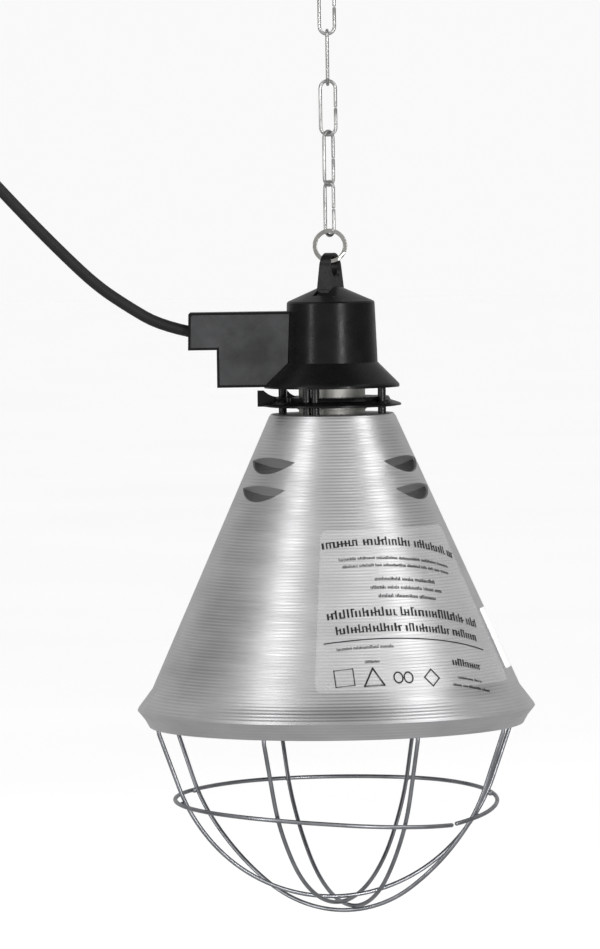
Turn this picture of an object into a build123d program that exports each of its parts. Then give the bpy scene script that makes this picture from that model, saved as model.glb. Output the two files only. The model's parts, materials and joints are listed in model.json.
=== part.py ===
"""Heat lamp fixture: a wire-guarded spun aluminium reflector hung from a chain.

Units are millimetres, +Z is up. The origin is the inside top of the S-hook's upper crook,
where the fixture hangs, so the whole lamp lies below it. +X is away from the cord arm.
"""

import os
from math import acos, cos, degrees, hypot, pi, radians, sin, sqrt, tan

from build123d import *

os.makedirs("parts", exist_ok=True)

# ---------------------------------------------------------------- driving dimensions

# S-hook and chain
HOOK_WIRE = 3.0            # hook wire diameter
HOOK_BEND = 8.0            # centreline radius of both crooks
HOOK_DROP = 42.45          # hang point to the centre of the lower crook's wire
LINK_WIRE = 1.8            # chain wire diameter
LINK_LENGTH = 30.1         # outside length of one link
LINK_WIDTH = 9.7           # outside width of one link
LINK_TURNS = (90, 0, 90, 0, 53, -56)   # how each link stands about the vertical, from the top
HANG_GAP = 0.1             # clearance where one hanging piece bears on the next

# Split ring
RING_INNER = 6.85          # inside radius
RING_BAND = 2.2            # radial width of the wire
RING_TURN = 1.1            # thickness of each of its two turns
RING_SEAT = 0.5            # its square edges sit this far above the last link's bend

# Housing cap and its eye lug
LUG_TURN = 24.0            # the lug's hole points this far in front of +X
LUG_TOP = -209.3
LUG_FOOT = -229.2
LUG_TOP_RADIUS = 7.5
LUG_FOOT_WIDTH = 17.4
LUG_TOP_THICK = 5.0
LUG_FOOT_THICK = 8.4
LUG_HOLE_RADIUS = 4.75
LUG_HOLE_CHAMFER = 1.3
LUG_HOLE_Z = -216.6
DOME_APEX = -224.7         # where the dome's cone would meet the axis
DOME_FOOT = -234.9
CAP_TOP_RADIUS = 23.1
CAP_WAIST = -266.8
CAP_WAIST_RADIUS = 24.3
CAP_LIP_RADIUS = 35.6
CAP_LIP = -278.3
CAP_BOTTOM = -279.9
CAP_WALL = 2.4
CAP_EASE = 0.6             # the dome's foot and the lip are eased by this much
RECESS_FROM = 9.0          # recess in the dome at the front of the lug's foot
RECESS_TO = 15.5
RECESS_HALF = 3.7
RECESS_DEPTH = 1.5

# Cord arm, the flat junction box on the cap's left side
ARM_HALF = 8.5             # half its depth in Y
ARM_TOP = -239.7
ARM_STEP = -259.4          # underside of its outer part
ARM_BOTTOM = -279.2
ARM_END = -75.2            # outer end
ARM_STEP_X = -60.2         # left side of its inner, deeper part
ARM_WALL = 2.2
ARM_EASE = 0.8             # its upper outer corner is eased by this much
COVER_THICK = 2.0
COVER_GAP = 0.2

COVER_SCREWS = ((-68.0, -244.9), (-40.0, -274.5))
COVER_POST_RADIUS = 2.0
COVER_SCREW_RADIUS = 1.2
COVER_HEAD_RADIUS = 2.4
COVER_HEAD_THICK = 1.4
WIRE_PORT_Z = -251.5       # slot between the arm and the cap for the inner wires
WIRE_PORT_HALF = 4.5
BOSS_FOOT = -254.5         # bosses that carry the lampholder's strap
BOSS_CIRCLE = 19.0
BOSS_RADIUS = 2.8
TAIL_LENGTH = 18.0         # the lead's sheath inside the arm
CLAMP_FROM = 10.5          # cord clamp, measured from the arm's outer end
CLAMP_LENGTH = 6.0
CLAMP_HALF = 5.8
CLAMP_SCREW = 0.9
CLAMP_SCREWS = ((-61.7, -4.4), (-61.7, 4.4))
BLOCK_X = -50.0            # terminal block
BLOCK_LENGTH = 14.0
BLOCK_HALF = 4.6
BLOCK_BOTTOM = -276.5
BLOCK_HEIGHT = 12.0
BLOCK_BORE = 1.7
CORE_STEP = 2.1            # the cores and wires run this far each side of the middle
CORE_RADIUS = 0.9
BLOCK_WAYS = ((-52.0, -CORE_STEP), (-52.0, CORE_STEP), (-46.5, -CORE_STEP), (-46.5, CORE_STEP))

# Spacer posts, locking ring and lampholder
POST_RADIUS = 2.15
POST_CIRCLE = 29.2
POST_ANGLES = (-117, -27, 63, 153)
STOP_ANGLE = -107.5
RING_TRAVEL = 25.0         # how far the locking ring turns
LOCK_TOP = -284.8
LOCK_BOTTOM = -289.9
LOCK_HUB = 29.9
LOCK_RIM = 36.4
LOCK_BORE = 18.0
SLEEVE_RADIUS = 17.5       # metal sleeve round the porcelain
SLEEVE_WALL = 0.6
SLEEVE_BEAD = 0.8          # rolled bead that the locking ring rests on
SLEEVE_TOP = -259.0
SLEEVE_BOTTOM = -300.2
HOLDER_TOP = -256.5
TERMINAL_X = 10.0
TERMINAL_RADIUS = 1.8
STRAP_SCREW = 1.2
SHELL_WALL = 0.5
SHELL_TOP = -271.0
SHELL_BOTTOM = -298.2
CARRIER_TOP = -277.9       # ring plate in the cap's mouth that the posts stand under
CARRIER_BOTTOM = -279.7
CARRIER_BORE = 18.6
CARRIER_RADIUS = 31.6
POST_SCREW = 1.3
POST_SCREW_BITE = 3.6      # how far the posts' screws reach past the carrier plate
STRAP_SCREW_BITE = 6.0
SCREW_HEAD = 1.5           # height of the posts' and strap's screw heads
SOCKET_RADIUS = 13.3       # inside of the E27 screw shell
SOCKET_MOUTH = -299.0

LEVER_TIP = 39.2           # radius of the lever's fin
LEVER_TOP = -281.2
LEVER_THICK = 2.6
WEB_OUTER = 23.8

# Reflector shade
SHADE_TOP = -293.6
SHADE_WALL = 1.0
SHADE_FLAT = 32.2          # radius of the flat top
SHADE_SLOPE = 0.4453       # growth of the radius for each millimetre down
SHADE_NECK_DEPTH = 3.4
SHADE_NECK_RADIUS = 34.2
BEAD_START = 144.0         # depths below the shade's top
BEAD_DEPTH = 155.0
BEAD_RADIUS = 104.7
CREASE_DEPTH = 159.3
CREASE_RADIUS = 101.2
RIM_DEPTH = 163.7
RIM_RADIUS = 98.7

# Louvres near the shade's top: a curved cut, and above it a flat tongue pressed inwards
LOUVRE_ROWS = (24.0, 38.2)     # depth of each row's tips below the shade's top
LOUVRE_ANGLES = (-141.5, -28.5, 95.0)
LOUVRE_HALF = 17.8             # half the distance between a louvre's tips
LOUVRE_CUT = 6.4               # the cut bows this far below the tips
LOUVRE_TONGUE = 3.7            # the tongue's free edge bows this far below the tips
LOUVRE_LEAN = 53.0             # the pressed tongue's lean from the vertical

# Labels: top and bottom depth, first and last angle on the shade
FILM_LABEL = (62.0, 138.0, -97.0, -18.0)
PLAIN_LABEL = (102.0, 134.0, -16.0, 24.0)
LABEL_SEAT = 0.02
LABEL_THICK = 0.15

# Wire guard
GUARD_WIRE = 2.2
GUARD_BALL = 91.0          # the wires follow a ball of this radius, centred on the rim's plane
GUARD_END_RADIUS = 96.2
GUARD_END_DEPTH = 155.0
GUARD_SIDE_RADIUS = 140.0
GUARD_TOUCH = 20.0         # angle below the rim at which the straight ends meet the ball
GUARD_KNEE = 8.0
GUARD_LEAVE = 35.0         # angle below the rim at which the wires leave the ball
GUARD_WIRES = (            # angle about the vertical, offset from the axis, lowest depth
    (14.0, 0.0, 255.3),
    (65.0, 3.0, 257.75),
    (-68.0, -5.5, 260.2),
    (-26.0, 0.0, 262.65),
)
HOOP_BULGE = 0.8           # how much further out the hoop runs at its left and right
HOOP_HEIGHTS = (           # the hoop's angle and depth below the rim's plane, from gap to gap
    (-40.8, 48.5), (-20.0, 45.4), (0.0, 42.0), (25.0, 39.0), (50.0, 37.2), (75.0, 36.8),
    (100.0, 36.8), (125.0, 37.1), (150.0, 38.0), (180.0, 39.1), (205.0, 40.3), (230.0, 41.6),
    (250.0, 43.1), (265.0, 44.5), (280.0, 46.2), (295.0, 47.6), (306.0, 48.4), (317.7, 48.9),
)

# Mains lead
CORD = 6.0                 # lead diameter
CORD_EXIT_Z = -249.7
COIL_CENTRE = (-262.0, 0.0, -71.0)
COIL_RADIUS = 36.0         # middle of the turns
COIL_BUNDLE = 12.0         # radius of the bundle of turns
TIE_WIDTH = 16.0
TIE_THICK = 1.4
TIE_SEAT = 0.4             # the strap's lower bend sits this far below the bundle's middle
TIE_INSIDE = 13.2
TIE_LOOP = 6.0             # inside radius of the hanging loop
PLUG_TOP = -122.0
PLUG_X = -300.5
PLUG_NECK = 4.6
PLUG_TAPER = 22.0
PLUG_SHOULDER = 19.0
PLUG_THICK = 12.5
PLUG_LENGTH = 48.0
PLUG_WIDTH = 34.5
PIN_SPACING = 19.0
PIN_RADIUS = 2.4
PIN_LENGTH = 19.0
PIN_ROOT = 8.0
PIN_NECK = 2.0              # radius of the pins' roots, up to a collar below the body
PIN_COLLAR = 1.0

FRONT = Plane.XZ           # drawings seen from the front: local x is +X, local y is +Z


def turned(angle, height=0.0):
    """A vertical drawing plane through the axis: local x points at the angle, local y is up."""
    along = (cos(radians(angle)), sin(radians(angle)), 0)
    normal = (sin(radians(angle)), -cos(radians(angle)), 0)
    return Plane(origin=(0, 0, height), x_dir=along, z_dir=normal)


def polar(radius, angle):
    """A point at the radius and angle about the vertical axis."""
    return (radius * cos(radians(angle)), radius * sin(radians(angle)))


def bend_radii(points):
    """The largest tangent arc that each corner of a cord's route has room for."""
    radii = []
    for before, corner, after in zip(points, points[1:], points[2:]):
        run_in = Vector(*corner) - Vector(*before)
        run_out = Vector(*after) - Vector(*corner)
        turn = radians(run_in.get_angle(run_out))
        radii.append(0.45 * min(run_in.length, run_out.length) / tan(turn / 2))
    return radii


def finish_node(part, node):
    """Label a finished piece and write its STEP file."""
    part.label = node
    export_step(part, f"parts/{node}.step")


# ---------------------------------------------------------------- S-hook

hook_upper = (0, HOOK_WIRE / 2 - HOOK_BEND)
hook_lower = (0, HOOK_BEND - HOOK_DROP)
hook_span = hook_upper[1] - hook_lower[1]
stem_angle = 90 - degrees(acos(2 * HOOK_BEND / hook_span))     # the stem is the inner tangent

with BuildPart() as s_hook:
    with BuildLine(FRONT) as hook_line:
        CenterArc(hook_upper, HOOK_BEND, 205, -205 - stem_angle)
        CenterArc(hook_lower, HOOK_BEND, 180 - stem_angle, 205 + stem_angle)
        Line(
            (hook_upper[0] + HOOK_BEND * cos(radians(stem_angle)),
             hook_upper[1] - HOOK_BEND * sin(radians(stem_angle))),
            (hook_lower[0] - HOOK_BEND * cos(radians(stem_angle)),
             hook_lower[1] + HOOK_BEND * sin(radians(stem_angle))),
        )
    hook_path = hook_line.wires()[0]
    with BuildSketch(Plane(origin=hook_path @ 0, z_dir=hook_path % 0)):
        Circle(HOOK_WIRE / 2)
    sweep(path=hook_path)
finish_node(s_hook.part, "s_hook")

# ---------------------------------------------------------------- chain links

link_bend = (LINK_WIDTH - LINK_WIRE) / 2
link_leg = (LINK_LENGTH - LINK_WIDTH) / 2
link_pitch = LINK_LENGTH - 2 * LINK_WIRE - HANG_GAP
first_link_top = -HOOK_DROP + HOOK_WIRE / 2 + HANG_GAP + LINK_WIRE

for number, angle in enumerate(LINK_TURNS):
    link_middle = first_link_top - LINK_LENGTH / 2 - number * link_pitch
    link_plane = turned(angle, link_middle)
    with BuildPart() as chain_link:
        with BuildSketch(Plane(origin=link_plane.from_local_coords((link_bend, 0, 0)),
                               x_dir=link_plane.x_dir, z_dir=(0, 0, 1))):
            Circle(LINK_WIRE / 2)
            with Locations((-2 * link_bend, 0)):
                Circle(LINK_WIRE / 2)
        extrude(amount=link_leg, both=True)
        for end, arc in ((link_leg, 180), (-link_leg, -180)):
            with BuildSketch(Plane(origin=link_plane.from_local_coords((link_bend, end, 0)),
                                   x_dir=link_plane.x_dir, z_dir=(0, 0, 1))):
                Circle(LINK_WIRE / 2)
            bend_centre = link_plane.from_local_coords((0, end, 0))
            revolve(axis=Axis(bend_centre, link_plane.z_dir), revolution_arc=arc)
    finish_node(chain_link.part, f"chain_link_{number + 1}")

last_link_bottom = first_link_top - (len(LINK_TURNS) - 1) * link_pitch - LINK_LENGTH

# ---------------------------------------------------------------- split ring

ring_z = last_link_bottom + LINK_WIRE + RING_SEAT - RING_INNER

with BuildPart() as split_ring:
    with BuildSketch(Plane.YZ):
        for side in (-1, 1):
            with Locations((side * RING_TURN / 2, ring_z + RING_INNER + RING_BAND / 2)):
                RectangleRounded(RING_TURN, RING_BAND, 0.3)
    revolve(axis=Axis((0, 0, ring_z), (0, 1, 0)))
finish_node(split_ring.part, "split_ring")

# ---------------------------------------------------------------- housing cap

lug_axis = (cos(radians(LUG_TURN)), -sin(radians(LUG_TURN)), 0)
lug_width = (sin(radians(LUG_TURN)), cos(radians(LUG_TURN)), 0)
LUG_FACE = Plane(origin=(0, 0, 0), x_dir=lug_width, z_dir=lug_axis)
LUG_SIDE = Plane(origin=(0, 0, 0), x_dir=(-lug_axis[0], -lug_axis[1], 0), z_dir=lug_width)
lug_shoulder = LUG_TOP - LUG_TOP_RADIUS
dome_slope = (DOME_APEX - DOME_FOOT) / CAP_TOP_RADIUS


def cap_profile(inset, bottom):
    """Half section of the cap's outside, drawn in by the inset for its cavity."""
    dome_foot = DOME_FOOT - inset * 1.1 + inset * dome_slope
    lip = CAP_LIP - inset * 0.4
    return [
        (0, DOME_APEX - inset * 1.1),
        (CAP_TOP_RADIUS - inset - CAP_EASE, dome_foot + CAP_EASE * dome_slope),
        (CAP_TOP_RADIUS - inset, dome_foot - CAP_EASE),
        (CAP_WAIST_RADIUS - inset, CAP_WAIST - inset * 0.4),
        (CAP_LIP_RADIUS - inset - CAP_EASE, lip + CAP_EASE),
        (CAP_LIP_RADIUS - inset, lip - CAP_EASE / 2),
        (CAP_LIP_RADIUS - inset, bottom),
        (0, bottom),
    ]


def arm_outline(inset, overlap):
    """The cord arm's L-shaped outline, drawn in by the inset, reaching the axis side."""
    return [
        (ARM_END + inset + 0.4, ARM_TOP - inset - ARM_EASE),
        (ARM_END + inset + 0.4 + ARM_EASE, ARM_TOP - inset),
        (-overlap, ARM_TOP - inset),
        (-overlap, ARM_BOTTOM + inset),
        (ARM_STEP_X + inset, ARM_BOTTOM + inset),
        (ARM_STEP_X + inset, ARM_STEP + inset),
        (ARM_END + inset, ARM_STEP + inset),
    ]


with BuildPart() as housing_cap:
    with BuildSketch(LUG_FACE):
        with BuildLine():
            Line((-LUG_FOOT_WIDTH / 2, LUG_FOOT - 3), (-LUG_TOP_RADIUS, lug_shoulder))
            RadiusArc((-LUG_TOP_RADIUS, lug_shoulder), (LUG_TOP_RADIUS, lug_shoulder), LUG_TOP_RADIUS)
            Line((LUG_TOP_RADIUS, lug_shoulder), (LUG_FOOT_WIDTH / 2, LUG_FOOT - 3))
            Line((LUG_FOOT_WIDTH / 2, LUG_FOOT - 3), (-LUG_FOOT_WIDTH / 2, LUG_FOOT - 3))
        make_face()
    extrude(amount=LUG_FOOT_THICK, both=True)
    with BuildSketch(LUG_SIDE):
        with BuildLine():
            Polyline(
                (-LUG_FOOT_THICK / 2, LUG_FOOT - 3),
                (-LUG_FOOT_THICK / 2, LUG_FOOT),
                (-LUG_TOP_THICK / 2, LUG_TOP),
                (LUG_TOP_THICK / 2, LUG_TOP),
                (LUG_FOOT_THICK / 2, LUG_FOOT),
                (LUG_FOOT_THICK / 2, LUG_FOOT - 3),
                close=True,
            )
        make_face()
    extrude(amount=LUG_FOOT_WIDTH, both=True, mode=Mode.INTERSECT)
    with BuildSketch(FRONT):
        with BuildLine():
            Polyline(*cap_profile(0, CAP_BOTTOM), close=True)
        make_face()
    revolve(axis=Axis.Z)
    with BuildSketch(FRONT):
        with BuildLine():
            Polyline(*arm_outline(0, CAP_TOP_RADIUS - 4), close=True)
        make_face()
    extrude(amount=ARM_HALF, both=True)
    # the arm's hollow, open at the front for its cover, with a rebate for the cover's edge
    with BuildSketch(FRONT.offset(-ARM_HALF + ARM_WALL)):
        with BuildLine():
            Polyline(*arm_outline(ARM_WALL, CAP_WAIST_RADIUS - 1), close=True)
        make_face()
    extrude(amount=2 * ARM_HALF, mode=Mode.SUBTRACT)
    with BuildSketch(FRONT.offset(ARM_HALF - COVER_THICK)):
        with BuildLine():
            Polyline(*arm_outline(ARM_WALL / 2, CAP_TOP_RADIUS - 4), close=True)
        make_face()
    extrude(amount=2 * COVER_THICK, mode=Mode.SUBTRACT)
    # the cap's own wall is restored where the arm's hollow cut it
    with BuildSketch(FRONT):
        with BuildLine():
            Polyline(*cap_profile(0, CAP_BOTTOM), close=True)
        make_face()
    revolve(axis=Axis.Z)
    with BuildSketch(FRONT):
        with BuildLine():
            Polyline(*cap_profile(CAP_WALL, CAP_BOTTOM - 1), close=True)
        make_face()
    revolve(axis=Axis.Z, mode=Mode.SUBTRACT)
    # a recess in the dome where the lug's front edge stands
    with BuildSketch(turned(-90 - LUG_TURN)):
        with BuildLine():
            Polyline(
                (RECESS_FROM, DOME_APEX - RECESS_FROM * dome_slope + 2),
                (RECESS_FROM, DOME_APEX - RECESS_FROM * dome_slope - RECESS_DEPTH),
                (RECESS_TO, DOME_APEX - RECESS_TO * dome_slope - RECESS_DEPTH),
                (RECESS_TO, DOME_APEX - RECESS_TO * dome_slope + 2),
                close=True,
            )
        make_face()
    extrude(amount=RECESS_HALF, both=True, mode=Mode.SUBTRACT)
    # bosses for the lampholder's strap hang from the dome
    with BuildSketch(Plane.XY.offset(BOSS_FOOT)):
        with PolarLocations(BOSS_CIRCLE, 2, start_angle=90 - LUG_TURN):
            Circle(BOSS_RADIUS)
    extrude(until=Until.NEXT)
    # bosses for the posts' screws, under the flare
    with BuildSketch(Plane.XY.offset(CARRIER_TOP + 0.05)):
        with Locations(*[polar(POST_CIRCLE, angle) for angle in POST_ANGLES]):
            Circle(2 * POST_SCREW)
    extrude(until=Until.NEXT)
    with BuildSketch(Plane.XY.offset(CARRIER_TOP)):
        with Locations(*[polar(POST_CIRCLE, angle) for angle in POST_ANGLES]):
            Circle(POST_SCREW + 0.05)
    extrude(amount=POST_SCREW_BITE + 0.2, mode=Mode.SUBTRACT)
    with BuildSketch(Plane.XY.offset(BOSS_FOOT)):
        with PolarLocations(BOSS_CIRCLE, 2, start_angle=90 - LUG_TURN):
            Circle(STRAP_SCREW + 0.05)
    extrude(amount=STRAP_SCREW_BITE + 0.2, mode=Mode.SUBTRACT)
    # hole through the lug, and the lead's and wires' ways into the arm and the cap
    with BuildSketch(LUG_FACE):
        with Locations((0, LUG_HOLE_Z)):
            Circle(LUG_HOLE_RADIUS)
    extrude(amount=LUG_FOOT_THICK, both=True, mode=Mode.SUBTRACT)
    hole_wall = housing_cap.faces().filter_by(GeomType.CYLINDER).filter_by(
        lambda face: abs(face.radius - LUG_HOLE_RADIUS) < 0.01)
    chamfer(hole_wall.edges().filter_by(GeomType.LINE, reverse=True), LUG_HOLE_CHAMFER)
    with BuildSketch(Plane.YZ.offset(ARM_END - 1)):
        with Locations((0, CORD_EXIT_Z)):
            Circle(CORD / 2 + 0.2)
    extrude(amount=ARM_WALL + 3, mode=Mode.SUBTRACT)
    with BuildSketch(Plane.YZ.offset(-CAP_WAIST_RADIUS - 2)):
        with Locations((0, WIRE_PORT_Z)):
            RectangleRounded(2 * WIRE_PORT_HALF, 5, 1)
    extrude(amount=CAP_WALL + 4, mode=Mode.SUBTRACT)
    # the cover's two screws pass through the arm's back
    with BuildSketch(FRONT.offset(-ARM_HALF - 1)):
        with Locations(*COVER_SCREWS):
            Circle(COVER_SCREW_RADIUS + 0.2)
    extrude(amount=ARM_WALL + 2, mode=Mode.SUBTRACT)
finish_node(housing_cap.part, "housing_cap")

# ---------------------------------------------------------------- arm cover and its screws

cover_edge = ARM_WALL / 2 + COVER_GAP

with BuildPart() as arm_cover:
    with BuildSketch(FRONT.offset(ARM_HALF - COVER_THICK + 0.1)):
        with BuildLine():
            Polyline(*arm_outline(cover_edge, CAP_TOP_RADIUS - 6), close=True)
        make_face()
    extrude(amount=COVER_THICK - 0.1)
    with BuildSketch(FRONT):
        with BuildLine():
            Polyline(*cap_profile(-COVER_GAP, CAP_BOTTOM - 1), close=True)
        make_face()
    revolve(axis=Axis.Z, mode=Mode.SUBTRACT)
    with BuildSketch(FRONT.offset(ARM_HALF - COVER_THICK + 0.1)):
        with Locations(*COVER_SCREWS):
            Circle(COVER_POST_RADIUS)
    extrude(amount=-(2 * ARM_HALF - COVER_THICK - ARM_WALL - 0.2))
    with BuildSketch(FRONT.offset(-ARM_HALF)):
        with Locations(*COVER_SCREWS):
            Circle(COVER_SCREW_RADIUS)
    extrude(amount=ARM_HALF + 2, mode=Mode.SUBTRACT)
finish_node(arm_cover.part, "arm_cover")

with BuildPart() as arm_cover_screws:
    with BuildSketch(FRONT.offset(-ARM_HALF - 0.05)):
        with Locations(*COVER_SCREWS):
            Circle(COVER_HEAD_RADIUS)
    extrude(amount=-COVER_HEAD_THICK)
    with BuildSketch(FRONT.offset(-ARM_HALF - 0.05)):
        with Locations(*COVER_SCREWS):
            Circle(COVER_SCREW_RADIUS)
    extrude(amount=ARM_HALF + 1)
    with BuildSketch(FRONT.offset(-ARM_HALF - COVER_HEAD_THICK - 1)):
        with Locations(*COVER_SCREWS):
            Rectangle(2.6, 0.6)
            Rectangle(0.6, 2.6)
    extrude(amount=1.8, mode=Mode.SUBTRACT)
finish_node(arm_cover_screws.part, "arm_cover_screws")

# ---------------------------------------------------------------- what the arm holds

with BuildPart() as terminal_block:
    with BuildSketch(Plane.XY.offset(BLOCK_BOTTOM)):
        with Locations((BLOCK_X, 0)):
            RectangleRounded(BLOCK_LENGTH, 2 * BLOCK_HALF, 1)
    extrude(amount=BLOCK_HEIGHT)
    with BuildSketch(Plane.XY.offset(BLOCK_BOTTOM + BLOCK_HEIGHT)):
        with Locations(*BLOCK_WAYS):
            Circle(BLOCK_BORE)
    extrude(amount=-BLOCK_HEIGHT + 2, mode=Mode.SUBTRACT)
finish_node(terminal_block.part, "terminal_block")

with BuildPart() as terminal_screws:
    with BuildSketch(Plane.XY.offset(BLOCK_BOTTOM + 2.1)):
        with Locations(*BLOCK_WAYS):
            Circle(BLOCK_BORE - 0.1)
    extrude(amount=BLOCK_HEIGHT - 5)
finish_node(terminal_screws.part, "terminal_screws")

with BuildPart() as cord_tail:
    with BuildSketch(Plane.YZ.offset(ARM_END)):
        with Locations((0, CORD_EXIT_Z)):
            Circle(CORD / 2)
    extrude(amount=TAIL_LENGTH)
finish_node(cord_tail.part, "cord_tail")

with BuildPart() as cord_clamp:
    with BuildSketch(Plane.YZ.offset(ARM_END + CLAMP_FROM)):
        with Locations((0, CORD_EXIT_Z)):
            RectangleRounded(2 * CLAMP_HALF, CORD + 3, 1)
            Circle(CORD / 2, mode=Mode.SUBTRACT)
    extrude(amount=CLAMP_LENGTH)
    with BuildSketch(Plane.XY.offset(CORD_EXIT_Z + CORD)):
        with Locations(*CLAMP_SCREWS):
            Circle(CLAMP_SCREW + 0.05)
    extrude(amount=-2 * CORD, mode=Mode.SUBTRACT)
finish_node(cord_clamp.part, "cord_clamp")

with BuildPart() as mains_cores:
    for side in (-1, 1):
        way = BLOCK_WAYS[0 if side < 0 else 1]
        with BuildLine() as core_line:
            FilletPolyline(
                (ARM_END + TAIL_LENGTH + 0.05, side * CORE_STEP, CORD_EXIT_Z),
                (way[0], side * CORE_STEP, CORD_EXIT_Z),
                (way[0], side * CORE_STEP, BLOCK_BOTTOM + BLOCK_HEIGHT - 2.8),
                radius=3,
            )
        core_path = core_line.wires()[0]
        with BuildSketch(Plane(origin=core_path @ 0, z_dir=core_path % 0)):
            Circle(CORE_RADIUS)
        sweep(path=core_path)
finish_node(mains_cores.part, "mains_cores")

with BuildPart() as holder_wires:
    for side in (-1, 1):
        way = BLOCK_WAYS[2 if side < 0 else 3]
        with BuildLine() as wire_line:
            FilletPolyline(
                (way[0], side * CORE_STEP, BLOCK_BOTTOM + BLOCK_HEIGHT - 2.8),
                (way[0], side * CORE_STEP, WIRE_PORT_Z),
                (-TERMINAL_X, side * CORE_STEP, WIRE_PORT_Z),
                (-TERMINAL_X, side * CORE_STEP, HOLDER_TOP + 0.1),
                radius=2.5,
            )
        wire_path = wire_line.wires()[0]
        with BuildSketch(Plane(origin=wire_path @ 0, z_dir=wire_path % 0)):
            Circle(CORE_RADIUS)
        sweep(path=wire_path)
finish_node(holder_wires.part, "holder_wires")

# ---------------------------------------------------------------- lampholder

with BuildPart() as holder_body:
    with BuildSketch(FRONT):
        with BuildLine():
            Polyline(
                (0, HOLDER_TOP),
                (SLEEVE_RADIUS - SLEEVE_WALL - 0.1, HOLDER_TOP),
                (SLEEVE_RADIUS - SLEEVE_WALL - 0.1, SOCKET_MOUTH + 0.8),
                (SLEEVE_RADIUS - SLEEVE_WALL - 0.9, SOCKET_MOUTH),
                (SOCKET_RADIUS + SHELL_WALL + 0.1, SOCKET_MOUTH),
                (SOCKET_RADIUS + SHELL_WALL + 0.1, SHELL_TOP + 0.1),
                (8.5, SHELL_TOP + 0.1),
                (8.5, SHELL_TOP + 3.5),
                (0, SHELL_TOP + 3.5),
                close=True,
            )
        make_face()
    revolve(axis=Axis.Z)
    with BuildSketch(Plane.XY.offset(HOLDER_TOP)):
        Circle(STRAP_SCREW + 0.05)
        with Locations((-TERMINAL_X, -CORE_STEP), (-TERMINAL_X, CORE_STEP)):
            Circle(TERMINAL_RADIUS + 0.05)
    extrude(amount=-5.1, mode=Mode.SUBTRACT)
finish_node(holder_body.part, "holder_body")

with BuildPart() as threaded_shell:
    with BuildSketch(Plane.XY.offset(SHELL_TOP)):
        Circle(SOCKET_RADIUS + SHELL_WALL)
        Circle(SOCKET_RADIUS, mode=Mode.SUBTRACT)
    extrude(amount=SHELL_BOTTOM - SHELL_TOP)
finish_node(threaded_shell.part, "threaded_shell")

with BuildPart() as centre_contact:
    with BuildSketch(Plane.XZ.offset(3)):
        with BuildLine():
            Polyline(
                (-8, SHELL_TOP + 3.4),
                (0.5, SHELL_TOP + 3.4),
                (6.5, SHELL_TOP + 0.5),
                (6.5, SHELL_TOP + 0.1),
                (0.3, SHELL_TOP + 2.9),
                (-8, SHELL_TOP + 2.9),
                close=True,
            )
        make_face()
    extrude(amount=-6)
    with BuildSketch(Plane.XY.offset(SHELL_TOP + 5)):
        Circle(8.3)
    extrude(amount=-8, mode=Mode.INTERSECT)
finish_node(centre_contact.part, "centre_contact")

with BuildPart() as holder_sleeve:
    with BuildSketch(FRONT):
        with BuildLine():
            Polyline(
                (SLEEVE_RADIUS - SLEEVE_WALL, SLEEVE_TOP),
                (SLEEVE_RADIUS, SLEEVE_TOP),
                (SLEEVE_RADIUS, LOCK_BOTTOM - 0.15),
                (SLEEVE_RADIUS + SLEEVE_BEAD, LOCK_BOTTOM - 0.5),
                (SLEEVE_RADIUS + SLEEVE_BEAD, LOCK_BOTTOM - 1.3),
                (SLEEVE_RADIUS, LOCK_BOTTOM - 1.7),
                (SLEEVE_RADIUS, SLEEVE_BOTTOM),
                (SLEEVE_RADIUS - SLEEVE_WALL, SLEEVE_BOTTOM),
                close=True,
            )
        make_face()
    revolve(axis=Axis.Z)
finish_node(holder_sleeve.part, "holder_sleeve")

strap_turn = 90 - LUG_TURN
strap_thick = BOSS_FOOT - HOLDER_TOP - 0.1

with BuildPart() as holder_strap:
    with BuildSketch(Plane.XY.offset(HOLDER_TOP + 0.05)):
        with Locations(Location((0, 0, 0), (0, 0, strap_turn))):
            SlotCenterToCenter(2 * BOSS_CIRCLE, 2 * BOSS_RADIUS - 1.4)
        with PolarLocations(BOSS_CIRCLE, 2, start_angle=strap_turn):
            Circle(STRAP_SCREW + 0.15, mode=Mode.SUBTRACT)
        Circle(STRAP_SCREW + 0.15, mode=Mode.SUBTRACT)
    extrude(amount=strap_thick)
finish_node(holder_strap.part, "holder_strap")

with BuildPart() as strap_screws:
    with BuildSketch(Plane.XY.offset(HOLDER_TOP)):
        with PolarLocations(BOSS_CIRCLE, 2, start_angle=strap_turn):
            Circle(STRAP_SCREW + 0.5)
    extrude(amount=-SCREW_HEAD)
    with BuildSketch(Plane.XY.offset(HOLDER_TOP)):
        with PolarLocations(BOSS_CIRCLE, 2, start_angle=strap_turn):
            Circle(STRAP_SCREW)
    extrude(amount=BOSS_FOOT - HOLDER_TOP + STRAP_SCREW_BITE)
finish_node(strap_screws.part, "strap_screws")

with BuildPart() as holder_rivet:
    with BuildSketch(Plane.XY.offset(BOSS_FOOT)):
        Circle(STRAP_SCREW + 1.6)
    extrude(amount=SCREW_HEAD)
    with BuildSketch(Plane.XY.offset(BOSS_FOOT)):
        Circle(STRAP_SCREW)
    extrude(amount=HOLDER_TOP - BOSS_FOOT - 5)
finish_node(holder_rivet.part, "holder_rivet")

with BuildPart() as holder_terminals:
    with BuildSketch(Plane.XY.offset(HOLDER_TOP)):
        with Locations((-TERMINAL_X, -CORE_STEP), (-TERMINAL_X, CORE_STEP)):
            Circle(TERMINAL_RADIUS)
    extrude(amount=-4)
finish_node(holder_terminals.part, "holder_terminals")

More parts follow.
